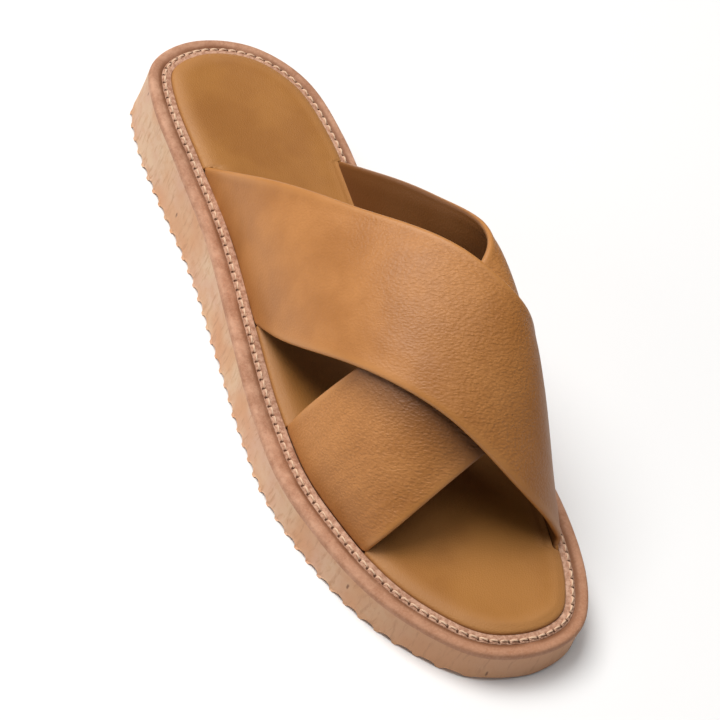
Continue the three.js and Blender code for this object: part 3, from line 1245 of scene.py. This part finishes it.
@dataclass(frozen=True)
class Welt:
    """The stitched strip on the midsole, and its row of stitches.

    Each row of the strip is a share of its width and a share of its thickness. The arch and the sink of a
    stitch and the play in its height are in millimetres, and its slant and the play in that in degrees.
    """

    stitches: int = 164
    per_stitch: int = 4
    row_share: float = 0.32
    rows: tuple = (
        (-0.02, 0.0), (-0.02, 0.4), (0.05, 0.62), (0.12, 0.82), (0.22, 0.95), (0.32, 1.0), (0.42, 1.04),
        (0.52, 1.1), (0.66, 1.16), (0.8, 1.16), (0.93, 1.1), (1.05, 0.95), (1.05, 0.0),
    )
    angle_slack: float = 1e-6
    dimple: float = 0.35 * MM
    dimple_radius: float = 0.7 * MM
    hole_shift: float = 0.35 * MM
    ply_radius: float = 0.42 * MM
    ply_apart: float = 0.27 * MM
    thread_turns: float = 0.6
    slant: float = 9.0
    slant_play: float = 2.5
    girth_play: tuple[float, float] = (0.9, 1.08)
    height_play: float = 0.05
    arch: float = 0.5
    sink: float = 0.34
    span: float = 0.9
    tip_girth: float = 0.55
    swell: float = 0.45
    ply_rings: int = 8
    ply_sides: int = 5
    ply_phase: float = 0.3
    strip_angle: float = 70.0
    thread_angle: float = 80.0
    seed: int = 5

    def row_inset(self, s: Sizes) -> float:
        """How far the stitch row lies in from the rim."""
        return s.welt_outer + self.row_share * s.welt_width

    def build_strip(self, pattern: Pattern) -> Piece:
        """Draws the strip round the sole, dimpled where the thread goes down.

        Args:
            pattern: The sole's outline and heights.

        Returns:
            The finished strip.
        """
        s = pattern.sizes
        row = self.row_inset(s)
        angles = pattern.even_angles(self.stitches * self.per_stitch, row)
        loft = Loft("welt_strip", angles)
        for k, (share, rise) in enumerate(self.rows):
            inset = s.welt_outer + share * s.welt_width
            place = pattern.ring(inset, pattern.seat, rise * s.welt_thickness)
            marks = {"off_row": inset - row + self.hole_shift}
            if k:
                loft.draw(place, marks)
            else:
                loft.lay(place, marks)
        loft.close_round()
        piece = loft.done(self.strip_angle)
        station = np.searchsorted(angles, Bench.read(piece, "angle") - self.angle_slack)
        phase = (station % self.per_stitch) / self.per_stitch
        off = np.minimum(phase, 1 - phase) * self.pitch(pattern)
        Bench.write(piece, "off_hole", off)
        away = np.hypot(off, Bench.read(piece, "off_row"))
        coords = Bench.coords(piece)
        coords[:, 2] -= self.dimple * bump_at(away, 0, self.dimple_radius)
        Bench.lay(piece, coords)
        return piece

    def pitch(self, pattern: Pattern) -> float:
        """The distance from one hole to the next.

        Args:
            pattern: The sole's outline and heights.

        Returns:
            The distance.
        """
        angles = pattern.even_angles(self.stitches, self.row_inset(pattern.sizes))
        points = pattern.point(angles, self.row_inset(pattern.sizes))
        return float(np.linalg.norm(points[1] - points[0]))

    def build_stitches(self, pattern: Pattern) -> Piece:
        """Twists one stitch of two plies and repeats it round the strip.

        Args:
            pattern: The sole's outline and heights.

        Returns:
            All the stitches as one piece.
        """
        s = pattern.sizes
        pitch = self.pitch(pattern)
        plies = [self._ply(side, pitch) for side in (0, 1)]
        Bench.take(plies[0])
        plies[1].select_set(True)
        bpy.ops.object.join()
        angles = pattern.even_angles(self.stitches * self.per_stitch, self.row_inset(s))
        holes = angles[::self.per_stitch]
        starts = pattern.ring(self.row_inset(s), pattern.seat, s.welt_thickness)(holes)
        ends = np.roll(starts, -1, axis=0)
        random = np.random.default_rng(self.seed)
        places = []
        for start, end in zip(starts, ends):
            way = Vector(end - start).normalized()
            side = Vector((0, 0, 1)).cross(way).normalized()
            turn = Matrix((way, side, way.cross(side))).transposed().to_4x4()
            tilt = Matrix.Rotation(math.radians(self.slant + random.normal(0, self.slant_play)), 4, "Z")
            size = Matrix.Diagonal((1.0, *random.uniform(*self.girth_play, 2), 1.0))
            lift = random.uniform(-self.height_play, self.height_play) * MM
            middle = (start + end) / 2 + np.array([0, 0, lift])
            places.append(Matrix.Translation(Vector(middle)) @ turn @ tilt @ size)
        piece = plies[0]
        piece.name = "welt_stitches"
        Bench.repeat(piece, places)
        Bench.smooth(piece, self.thread_angle)
        return piece

    def _ply(self, side: int, pitch: float) -> Piece:
        """One ply of a stitch: a thin tube that winds round the thread's line and dives at both ends.

        Args:
            side: Which of the two plies, 0 or 1.
            pitch: The distance from one hole to the next.

        Returns:
            The ply, round the origin.
        """
        def ring(k: int) -> Place:
            """Sets out one ring of the tube.

            Args:
                k: The ring's number, from 0 at one end.

            Returns:
                A function from angles to points.
            """
            t = k / self.ply_rings
            full = math.sin(math.pi * t) ** 0.5
            wind = 2 * math.pi * self.thread_turns * t + math.pi * side
            x = self.span * pitch * (t - 0.5)
            arch = (self.arch * full - self.sink) * MM
            centre = np.array([x, self.ply_apart * math.cos(wind), arch + self.ply_apart * math.sin(wind)])
            radius = self.ply_radius * (self.tip_girth + self.swell * full)

            def place(angle: Array) -> Array:
                """Points of the ring."""
                around = np.column_stack([np.zeros(len(angle)), np.cos(angle), np.sin(angle)])
                return centre + radius * around

            return place

        angles = np.linspace(0, 2 * math.pi, self.ply_sides, endpoint=False) + self.ply_phase
        loft = Loft(f"ply_{side}", angles)
        loft.lay(ring(0), {"ply": float(side)})
        for k in range(1, self.ply_rings + 1):
            loft.draw(ring(k), {"ply": float(side)})
        loft.cap(0)
        loft.cap(loft.rows)
        return loft.done(self.thread_angle)


@dataclass(frozen=True)
class StrapEdge:
    """An edge of a strap, from a share of the length on the outer seam to one on the inner seam.

    It bows towards the toe by a share of the length, and two smaller waves move the crest of that bow.
    """

    outer: float
    inner: float
    bow: float
    sway: float
    ripple: float


@dataclass(frozen=True)
class Crease:
    """A soft trough or ridge in a strap, between two places given as turn and share across.

    The rise is negative for a trough, the width is from its line to where it has died away, and the
    bow is how far its middle lies off the straight line.
    """

    start: tuple[float, float]
    end: tuple[float, float]
    rise: float
    width: float
    bow: float = 0.0
    tip_share: float = 0.35
    middle_share: float = 0.65

    def lift(self, start: Array, end: Array, along: Array, across: Array) -> Array:
        """How far the crease moves each place of the strap.

        Args:
            start: Where it starts, in metres along and across the strap.
            end: Where it ends.
            along: Metres along the strap.
            across: Metres across the strap.

        Returns:
            The lift of each place.
        """
        length = float(np.hypot(*(end - start)))
        way = (end - start) / length
        share = ((along - start[0]) * way[0] + (across - start[1]) * way[1]) / length
        within = np.clip(share, 0, 1)
        bowed = self.bow * 4 * within * (1 - within)
        off = (across - start[1]) * way[0] - (along - start[0]) * way[1] - bowed
        past = np.maximum(np.maximum(-share, share - 1), 0) * length
        taper = self.tip_share + self.middle_share * np.sin(math.pi * within)
        return self.rise * taper * np.exp(-(off * off + past * past) / self.width ** 2)


@dataclass(frozen=True)
class LastRow:
    """The last under the straps at one share of the length."""

    share: float
    crown: float
    lean: float
    outer_flank: float
    inner_flank: float


LAST_ROWS = (
    LastRow(0.22, 0.954, 0.322, 2.21, 2.09),
    LastRow(0.42, 0.945, 0.322, 2.22, 2.06),
    LastRow(0.58, 1.0, 0.323, 2.24, 1.95),
    LastRow(0.72, 0.737, 0.199, 2.21, 1.8),
    LastRow(0.86, 0.144, 0.104, 2.19, 1.74),
)


class Last:
    """The form of the foot that the straps are pulled over. A turn runs from 0 at the outer seam to 1."""

    FLANKS_MEET = (0.15, 0.85)

    def __init__(self, pattern: Pattern) -> None:
        """Draws the last's curves along the foot.

        Args:
            pattern: The sole's outline and heights.
        """
        self.pattern = pattern
        self.crown, self.lean = self._curve("crown"), self._curve("lean")
        self.outer_flank, self.inner_flank = self._curve("outer_flank"), self._curve("inner_flank")

    @staticmethod
    def _curve(name: str) -> SmoothCurve:
        """One of the rows' numbers, as a curve along the foot."""
        return SmoothCurve([row.share for row in LAST_ROWS], [getattr(row, name) for row in LAST_ROWS])

    def neck_top(self, y: Array) -> Array:
        """The height at which a strap leaves its seam."""
        s = self.pattern.sizes
        return self.pattern.seat(y) + s.welt_thickness + s.neck_above_welt

    def point(self, y: Array, turn: Array) -> Array:
        """Points of the last.

        Args:
            y: Where along the foot.
            turn: Where over the foot.

        Returns:
            The points.
        """
        s = self.pattern.sizes
        share = self.pattern.share_of(y)
        outer, inner = self.pattern.seam_x(y, -1), self.pattern.seam_x(y, 1)
        angle = math.pi * turn
        flank = mix(self.outer_flank(share), self.inner_flank(share), smoothstep(turn, *self.FLANKS_MEET))
        sine = np.maximum(np.sin(angle), 0)
        cosine = np.cos(angle)
        reach = (np.abs(cosine) ** flank + sine ** flank) ** (-1 / flank)
        x = (outer + inner) / 2 - (inner - outer) / 2 * reach * cosine
        x = x + self.lean(share) * s.instep_height * sine * sine
        crown = self.pattern.top(y) + self.crown(share) * s.instep_height
        return np.stack([x, y, mix(self.neck_top(y), crown, reach * sine)], -1)


class Section:
    """A strap's closed section: the outer face, the front round, the inner face and the back round."""

    CROWDING = 0.4

    def __init__(self, face_steps: int, round_steps: int, radius: float) -> None:
        """Places the stations round the section.

        Args:
            face_steps: How many faces lie across each broad side.
            round_steps: How many faces lie round each edge.
            radius: Half the strap's thickness.
        """
        self.radius = radius
        even = np.linspace(0, 1, face_steps + 1)
        face = mix(even, 0.5 - 0.5 * np.cos(math.pi * even), self.CROWDING)
        arc = np.linspace(0, math.pi, round_steps + 1)[1:-1]
        self.share = np.concatenate([face, 0 * arc + 1, face[::-1], 0 * arc])
        self.up = np.concatenate([0 * face + 1, np.cos(arc), 0 * face - 1, -np.cos(arc)])
        self.out = np.concatenate([0 * face, np.sin(arc), 0 * face, -np.sin(arc)])
        self.angles = 2 * math.pi * np.arange(len(self.share)) / len(self.share)

    def station(self, angle: Array) -> Array:
        """The station at each angle."""
        return np.round(angle * len(self.share) / (2 * math.pi)).astype(int) % len(self.share)


@dataclass(frozen=True)
class Strap:
    """One wide leather strap with turned round edges, pulled over the last from seam to seam."""

    name: str
    back: StrapEdge
    front: StrapEdge
    lift: float
    smooth_until: float
    creases: tuple[Crease, ...] = ()
    grain_turn: float = 0.46
    grain_spread: float = 0.15
    stand_off: float = 0.0
    stand_turn: float = 0.5
    stand_spread: float = 0.2
    stand_from: float = 0.7
    # The edge whose shadow is painted on this strap, and how far the painted shadow reaches.
    shaded_by: StrapEdge | None = None
    shade_reach: float = 11.5 * MM
    # How strongly painted shade darkens the strap towards its inner side, and the turns over which it comes
    # in.
    inner_side_shade: float = 0.0
    inner_side_shade_turns: tuple[float, float] = (0.42, 0.72)
    end_grain: float = 0.3
    end_grain_turns: tuple[float, float] = (0.6, 0.75)
    smooth_angle: float = 80.0
    columns: int = 190
    face_steps: int = 42
    round_steps: int = 6
    flat_turn: float = 0.05
    rise_turn: float = 0.14
    bend_height: float = 12 * MM
    roll_rise: float = 0.14 * MM
    roll_at: float = 1.9 * MM
    roll_width: float = 1.7 * MM
    dip_share: float = 0.8
    dip_at: float = 5.8 * MM
    dip_width: float = 2.2 * MM
    hem_from: float = 0.3 * MM
    hem: float = 2.5 * MM
    nudge: float = 1e-3

    def point(self, last: Last, turn: Array, across: Array) -> Array:
        """Points of the last under the strap."""
        back, front = self.edge_y(last, self.back, turn), self.edge_y(last, self.front, turn)
        return last.point(mix(back, front, across), turn)

    @staticmethod
    def edge_y(last: Last, edge: StrapEdge, turn: Array) -> Array:
        """Where along the foot an edge lies.

        Args:
            last: The form of the foot.
            edge: The edge.
            turn: Where over the foot.

        Returns:
            The y at each turn.
        """
        bow, sway, ripple = (np.sin(waves * math.pi * turn) for waves in (1, 2, 3))
        bowed = edge.bow * bow + edge.sway * sway + edge.ripple * ripple
        straight = mix(last.pattern.y_of(edge.outer), last.pattern.y_of(edge.inner), turn)
        return straight - last.pattern.sizes.length * bowed

    def side(self, last: Last, turn: Array, across: Array) -> Array:
        """The way from the back edge to the front edge, as long as the strap is wide there."""
        ahead = self.point(last, turn, across + self.nudge) - self.point(last, turn, across - self.nudge)
        return ahead / (2 * self.nudge)

    def along(self, last: Last, turn: Array, across: Array) -> Array:
        """The strap's own direction, upright at both seams.

        Args:
            last: The form of the foot.
            turn: Where over the foot.
            across: The share of the way from the back edge to the front edge.

        Returns:
            The unit vectors.
        """
        ahead = self.point(last, turn + self.nudge, across) - self.point(last, turn - self.nudge, across)
        upright = np.stack([0 * turn, 0 * turn, np.where(turn > 0.5, -1.0, 1.0)], -1)
        ahead = np.where(((turn <= 0) | (turn >= 1))[..., None], upright, ahead)
        return ahead / np.linalg.norm(ahead, axis=-1, keepdims=True)

    def normal(self, last: Last, turn: Array, across: Array) -> Array:
        """The way out of the strap, level at the seams and true above them.

        Args:
            last: The form of the foot.
            turn: Where over the foot.
            across: The share of the way from the back edge to the front edge.

        Returns:
            The unit vectors.
        """
        out = np.cross(self.side(last, turn, across), self.along(last, turn, across))
        out /= np.linalg.norm(out, axis=-1, keepdims=True)
        p = self.point(last, turn, across)
        freed = smoothstep(p[..., 2] - last.neck_top(p[..., 1]), 0, self.bend_height)[..., None]
        level = out * np.array([1.0, 1.0, 0.0])
        level /= np.linalg.norm(level, axis=-1, keepdims=True)
        bent = mix(level, out, freed)
        return bent / np.linalg.norm(bent, axis=-1, keepdims=True)

    def across_way(self, last: Last, turn: Array, across: Array) -> tuple[Array, Array]:
        """The way square to the strap's direction, towards the front edge.

        Args:
            last: The form of the foot.
            turn: Where over the foot.
            across: The share of the way from the back edge to the front edge.

        Returns:
            The unit vectors, and the strap's width along them.
        """
        side = self.side(last, turn, across)
        along = self.along(last, turn, across)
        square = side - (side * along).sum(-1, keepdims=True) * along
        width = np.linalg.norm(square, axis=-1)
        return square / width[..., None], width

    def build(self, last: Last) -> Piece:
        """Draws the strap's whole section along the last from seam to seam, and smooths it.

        Args:
            last: The form of the foot.

        Returns:
            The finished strap.
        """
        s = last.pattern.sizes
        section = Section(self.face_steps, self.round_steps, s.strap_thickness / 2)
        turns = np.linspace(0, 1, self.columns)
        middle = self.point(last, turns, 0.5 + 0 * turns)
        runs = np.concatenate([[0], np.cumsum(np.linalg.norm(np.diff(middle, axis=0), axis=1))])
        widths = self.across_way(last, turns, 0.5 + 0 * turns)[1]
        loft = Loft(self.name, section.angles)
        loft.draw_out(self.columns + 1)
        piece = loft.piece
        station = section.station(Bench.read(piece, "angle"))
        row = Bench.read(piece, "row").astype(int)
        column = np.clip(row - 1, 0, self.columns - 1)
        turn, along, width = turns[column], runs[column], widths[column]
        back = section.radius / self.across_way(last, turn, 0 * turn)[1]
        front = section.radius / self.across_way(last, turn, 0 * turn + 1)[1]
        across = mix(back, 1 - front, section.share[station])
        off_edge = np.minimum(across, 1 - across) * width
        relief = self.relief(along, (across - 0.5) * width, off_edge, (turns, runs, widths))
        stand = self.stand_off * bump_at(turn, self.stand_turn, self.stand_spread)
        relief = relief + stand * smoothstep(across, self.stand_from, 1.0)
        end = np.minimum(turn, 1 - turn)
        relief = relief * smoothstep(end, 0.0, self.flat_turn)
        lift = self.lift * smoothstep(end, 0, self.rise_turn)
        depth = lift + relief - section.radius * (1 - section.up[station])
        square = self.across_way(last, turn, across)[0]
        coords = self.point(last, turn, across) + self.normal(last, turn, across) * depth[:, None]
        coords += square * (section.radius * section.out[station])[:, None]
        sunk = (row == 0) | (row == loft.rows)
        coords[sunk, 2] = last.pattern.seat(coords[:, 1])[sunk]
        Bench.lay(piece, coords)
        metres = (section.share[station] - 0.5) * width + section.out[station] * s.strap_thickness
        # Mask of the turned edges, which are smoother and painted lighter, partly as a highlight.
        Bench.write(piece, "edge", 1 - smoothstep(width / 2 - np.abs(metres), self.hem_from, self.hem))
        Bench.write(piece, "flex", self.flex(turn))
        # Mask of the inner faces, which take the darker lining and painted shade.
        Bench.write(piece, "inside", smoothstep(-section.up[station], -0.3, 0.7))
        Bench.write(piece, "shadow", self.shadow(last, turn, coords[:, 1]))
        # Mask of the painted shade on the over strap's inner side.
        Bench.write(piece, "inner_side_shade", self.inner_side_shade * smoothstep(turn, *self.inner_side_shade_turns))
        loft.cap(0)
        loft.cap(loft.rows)
        piece = loft.done(self.smooth_angle)
        Bench.refine(piece, "SUBSURF", levels=1, render_levels=1)
        Bench.smooth(piece, self.smooth_angle)
        return piece

    def shadow(self, last: Last, turn: Array, y: Array) -> Array:
        """The painted shadow: how much darker the leather is painted where another strap's edge lies over it.

        Args:
            last: The form of the foot.
            turn: Where over the foot.
            y: Where along the foot.

        Returns:
            The shadow, from 0 to 1.
        """
        if self.shaded_by is None:
            return np.zeros(len(y))
        return bump_at(y, self.edge_y(last, self.shaded_by, turn), self.shade_reach)

    def flex(self, turn: Array) -> Array:
        """How much the leather works as the foot bends, which raises its grain.

        Args:
            turn: Where over the foot.

        Returns:
            The share of the full grain.
        """
        worked = bump_at(turn, self.grain_turn, self.grain_spread)
        faded = 1 - smoothstep(turn, *self.end_grain_turns)
        ends = self.end_grain * smoothstep(turn, 0.0, self.smooth_until) * faded
        return np.clip(worked + ends, 0, 1)

    def relief(self, along: Array, across: Array, off_edge: Array, measures: tuple) -> Array:
        """The rolled edges and the creases, as a lift off the smooth strap.

        Args:
            along: Metres along the strap.
            across: Metres across the strap from its middle.
            off_edge: Metres from the nearer edge.
            measures: Even turns, the length up to each and the width at each.

        Returns:
            The lift of each place.
        """
        turns, runs, widths = measures
        roll = bump_at(off_edge, self.roll_at, self.roll_width)
        lift = self.roll_rise * (roll - self.dip_share * bump_at(off_edge, self.dip_at, self.dip_width))

        def metric(place: tuple[float, float]) -> Array:
            """A place given as turn and share across, in metres."""
            return np.array([np.interp(place[0], turns, runs),
                             (place[1] - 0.5) * np.interp(place[0], turns, widths)])

        for crease in self.creases:
            lift = lift + crease.lift(metric(crease.start), metric(crease.end), along, across)
        return lift


OVER_BACK = StrapEdge(0.215, 0.667, 0.1458, -0.0084, -0.0154)
OVER_FRONT = StrapEdge(0.461, 0.874, 0.1369, 0.0151, -0.003)
UNDER_BACK = StrapEdge(0.609, 0.24, 0.1483, 0.0083, -0.0011)
UNDER_FRONT = StrapEdge(0.81, 0.505, 0.1272, -0.027, 0.0125)

OVER_CREASES = (
    Crease((0.86, 0.18), (0.985, 0.3), -0.5 * MM, 1.8 * MM, 1.5 * MM),
    Crease((0.88, 0.42), (0.99, 0.46), -0.55 * MM, 1.6 * MM, 1.0 * MM),
    Crease((0.87, 0.62), (0.99, 0.6), 0.45 * MM, 1.8 * MM),
    Crease((0.84, 0.8), (0.98, 0.72), -0.5 * MM, 1.7 * MM, -1.2 * MM),
    Crease((0.42, 0.5), (0.62, 0.46), -0.35 * MM, 9 * MM, 3 * MM),
    Crease((0.05, 0.35), (0.24, 0.42), 0.3 * MM, 7 * MM, -2 * MM),
)
UNDER_CREASES = (
    Crease((0.03, 0.28), (0.17, 0.2), -0.4 * MM, 1.7 * MM, 1.2 * MM),
    Crease((0.02, 0.5), (0.19, 0.44), -0.35 * MM, 1.9 * MM, 1.5 * MM),
    Crease((0.03, 0.68), (0.16, 0.66), 0.35 * MM, 1.8 * MM),
    Crease((0.02, 0.84), (0.18, 0.8), -0.35 * MM, 1.6 * MM, -1.0 * MM),
    Crease((0.24, 0.3), (0.34, 0.55), 0.3 * MM, 8 * MM, 2 * MM),
    Crease((0.36, 0.0), (0.56, 1.0), -3.2 * MM, 10 * MM),
    Crease((0.62, 0.1), (0.82, 0.35), -1.6 * MM, 10 * MM),
)


@dataclass(frozen=True)
class Upper:
    """The two crossed straps."""

    pattern: Pattern
    last: Last

    def straps(self) -> tuple[Strap, Strap]:
        """Sizes both straps.

        Returns:
            The under strap, and the over strap, which lies on it.
        """
        s = self.pattern.sizes
        under = Strap("strap_under", UNDER_BACK, UNDER_FRONT, 0.0, 0.1, UNDER_CREASES,
                      grain_turn=0.3, grain_spread=0.28, shaded_by=OVER_FRONT)
        over = Strap("strap_over", OVER_BACK, OVER_FRONT, s.strap_thickness - s.strap_bond, 0.5, OVER_CREASES,
                     stand_off=3.4 * MM, inner_side_shade=1.0)
        return under, over

    def build(self, material: bpy.types.Material) -> None:
        """Makes and dresses both straps."""
        for strap in self.straps():
            settle(strap.build(self.last), material, "upper")


@dataclass(frozen=True)
class Insole:
    """The padded footbed, with a rolled edge that steps in where the straps go down.

    The heel's and the ball's places are a share of the length and its spread.
    """

    stations: int = 900
    cuts: int = 30
    roll_rows: int = 9
    roll_width: float = 4.2 * MM
    wall: float = 1.0 * MM
    ease: float = -0.8 * MM
    turn_in: float = 0.4 * MM
    clearance: float = 0.2 * MM
    filled: float = 0.93
    inner_rows: tuple = ((5.2 * MM, 0.3), (6.2 * MM, 0.12), (7.2 * MM, 0.0))
    edge_fade: float = 0.5
    top_from: float = 0.9
    pad_rise: float = 0.3 * MM
    pad_at: float = 9 * MM
    pad_width: float = 7 * MM
    heel_seat: float = 0.6 * MM
    heel_place: tuple[float, float] = (0.17, 0.12)
    heel_half_width: float = 18 * MM
    ball_seat: float = 0.3 * MM
    ball_place: tuple[float, float] = (0.72, 0.1)
    ball_half_width: float = 26 * MM
    smooth_angle: float = 60.0

    def notch(self, pattern: Pattern, angle: Array) -> Array:
        """How far the edge steps in, from 0 beside the welt to 1 beside a strap.

        Args:
            pattern: The sole's outline and heights.
            angle: Angles round the sole.

        Returns:
            The step at each angle.
        """
        y = pattern.point(angle, pattern.sizes.seam_inset)[:, 1]
        outer = angle < math.pi
        step = np.zeros(len(angle))
        for back, front in ((OVER_BACK, OVER_FRONT), (UNDER_BACK, UNDER_FRONT)):
            for side, first, last in ((outer, back.outer, front.outer), (~outer, back.inner, front.inner)):
                high, low = pattern.y_of(first) + self.ease, pattern.y_of(last) - self.ease
                begun = smoothstep(y, low - self.turn_in, low)
                ended = smoothstep(y, high, high + self.turn_in)
                step = np.maximum(step, begun * (1 - ended) * side)
        return step

    def build(self, pattern: Pattern) -> Piece:
        """Draws the rolled edge, closes the top with fine rungs and pads it.

        Args:
            pattern: The sole's outline and heights.

        Returns:
            The finished footbed.
        """
        s = pattern.sizes
        filled = self.filled * s.insole_thickness

        def row(inset: float, rise: float) -> Place:
            """Sets out one row of the rolled edge.

            Args:
                inset: How far it lies in from the edge.
                rise: How far it lies above the seat.

            Returns:
                A function from angles to points.
            """
            def place(angle: Array) -> Array:
                """Points of the row.

                Args:
                    angle: Angles round the sole.

                Returns:
                    The point at each angle.
                """
                notch = self.notch(pattern, angle)
                deep = notch * (s.strap_thickness + self.clearance)
                risen = mix(rise, max(rise, filled), notch) if rise else 0.0
                return pattern.ring(s.seam_inset + deep + inset, pattern.seat, risen)(angle)

            return place

        loft = Loft("insole_footbed", pattern.even_angles(self.stations, s.seam_inset))
        loft.lay(row(0.0, 0.0), {"edge": 1.0})
        for k in range(self.roll_rows + 1):
            turn = math.pi / 2 * k / self.roll_rows
            inset = self.roll_width * (1 - math.cos(turn))
            rise = mix(self.wall, s.insole_thickness, math.sin(turn))
            loft.draw(row(inset, rise), {"edge": 1 - self.edge_fade * k / self.roll_rows})
        for inset, share in self.inner_rows:
            loft.draw(row(inset, s.insole_thickness), {"edge": share})
        loft.close_across(0)
        loft.close_across(loft.rows, self.cuts)
        piece = loft.done(self.smooth_angle)
        self.press(pattern, piece)
        return piece

    def press(self, pattern: Pattern, piece: Piece) -> None:
        """Raises the cushion inside the roll and presses the heel's and the ball's seats.

        Args:
            pattern: The sole's outline and heights.
            piece: The footbed.
        """
        s = pattern.sizes
        coords = Bench.coords(piece)
        x, y, z = coords.T
        outer, inner = pattern.seam_x(y, -1), pattern.seam_x(y, 1)
        half = (inner - outer) / 2
        middle = (inner + outer) / 2
        in_from_edge = half - np.abs(x - middle)
        above = smoothstep(z - pattern.seat(y), self.top_from * s.insole_thickness, s.insole_thickness)
        pad = self.pad_rise * bump_at(in_from_edge, self.pad_at, self.pad_width)
        along, off_middle = pattern.share_of(y), x - middle
        heel = bump_at(along, *self.heel_place) * bump_at(off_middle, 0, self.heel_half_width)
        ball = bump_at(along, *self.ball_place) * bump_at(off_middle, 0, self.ball_half_width)
        coords[:, 2] = z + above * (pad - self.heel_seat * heel - self.ball_seat * ball)
        Bench.lay(piece, coords)


@dataclass(frozen=True)
class Lamp:
    """A soft square light that looks at the sandal from an azimuth and elevation, in degrees."""

    name: str
    azimuth: float
    elevation: float
    distance: float
    width: float
    power: float
    colour: tuple[float, float, float] = (1.0, 1.0, 1.0)

    def hang(self, aim: Vector) -> None:
        """Adds the light.

        Args:
            aim: The point that it looks at.
        """
        a, e = math.radians(self.azimuth), math.radians(self.elevation)
        away = Vector((math.sin(a) * math.cos(e), -math.cos(a) * math.cos(e), math.sin(e)))
        light = bpy.data.lights.new(self.name, "AREA")
        light.shape = "SQUARE"
        light.size = self.width
        light.energy = self.power
        light.color = self.colour
        lamp = bpy.data.objects.new(self.name, light)
        lamp.location = aim + away * self.distance
        lamp.rotation_mode = "QUATERNION"
        lamp.rotation_quaternion = away.to_track_quat("Z", "Y")
        bpy.context.scene.collection.objects.link(lamp)


@dataclass(frozen=True)
class Studio:
    """The pale floor, the soft light and the camera."""

    place: tuple[float, float, float] = (-0.5555, -0.4975, 0.8189)
    aim: tuple[float, float, float] = (-0.0030, -0.0147, 0.0229)
    roll: float = 28.4
    lens: float = 146.4
    floor_size: float = 30.0
    floor_shade: tuple = (0.93, 0.93, 0.935, 1.0)
    air: tuple = (1.0, 0.99, 0.975, 1.0)
    air_strength: float = 0.11
    lamps: tuple[Lamp, ...] = (
        Lamp("key", -143, 58, 3.0, 1.8, 92.0, (1.0, 0.985, 0.96)),
        Lamp("top", 0, 86, 2.4, 1.6, 14.0),
        Lamp("side", -85, 22, 2.5, 1.2, 6.0),
    )

    def build(self) -> None:
        """Lays the floor, hangs the lights and sets up the camera."""
        self.lay_floor()
        for lamp in self.lamps:
            lamp.hang(Vector(self.aim))
        world = bpy.data.worlds.new("air")
        world.use_nodes = True
        background = world.node_tree.nodes["Background"]
        background.inputs["Color"].default_value = self.air
        background.inputs["Strength"].default_value = self.air_strength
        bpy.context.scene.world = world
        bpy.context.scene.view_settings.view_transform = "Standard"
        self.set_camera()

    def lay_floor(self) -> None:
        """Adds the floor under the sandal."""
        bpy.ops.object.select_all(action="DESELECT")
        bpy.ops.mesh.primitive_plane_add(size=self.floor_size)
        floor = Bench.named("floor")
        graph = Graph("floor_paper")
        floor.data.materials.append(graph.finish({}, {"Base Color": self.floor_shade, "Roughness": 0.9,
                                                      "Specular IOR Level": 0.1}))

    def set_camera(self) -> None:
        """Looks from the camera's place at its aim, rolled about that line."""
        place, aim = Vector(self.place), Vector(self.aim)
        forward = (aim - place).normalized()
        level = forward.cross(Vector((0, 0, 1))).normalized()
        up = level.cross(forward)
        roll = math.radians(self.roll)
        right = level * math.cos(roll) + up * math.sin(roll)
        data = bpy.data.cameras.new("camera")
        data.lens = self.lens
        camera = bpy.data.objects.new("camera", data)
        camera.location = place
        camera.rotation_mode = "QUATERNION"
        turned = Matrix((right, right.cross(forward), -forward)).transposed()
        camera.rotation_quaternion = turned.to_quaternion()
        bpy.context.scene.collection.objects.link(camera)
        bpy.context.scene.camera = camera


def main() -> None:
    """Builds the sandal from the floor up, then the studio round it."""
    logging.basicConfig(level=logging.INFO, format="%(message)s")
    pattern = Pattern(Sizes())
    last = Last(pattern)
    settle(Outsole().build(pattern), Crepe().make(), "outsole")
    settle(Midsole().build(pattern), RunnerLeather().make(), "midsole")
    welt = Welt()
    settle(welt.build_strip(pattern), WeltLeather().make(), "welt")
    settle(welt.build_stitches(pattern), Thread().make())
    footbed = Insole().build(pattern)
    settle(footbed, InsoleLeather().make(), "insole")
    Upper(pattern, last).build(StrapLeather().make())
    Studio().build()


if __name__ == "__main__":
    main()
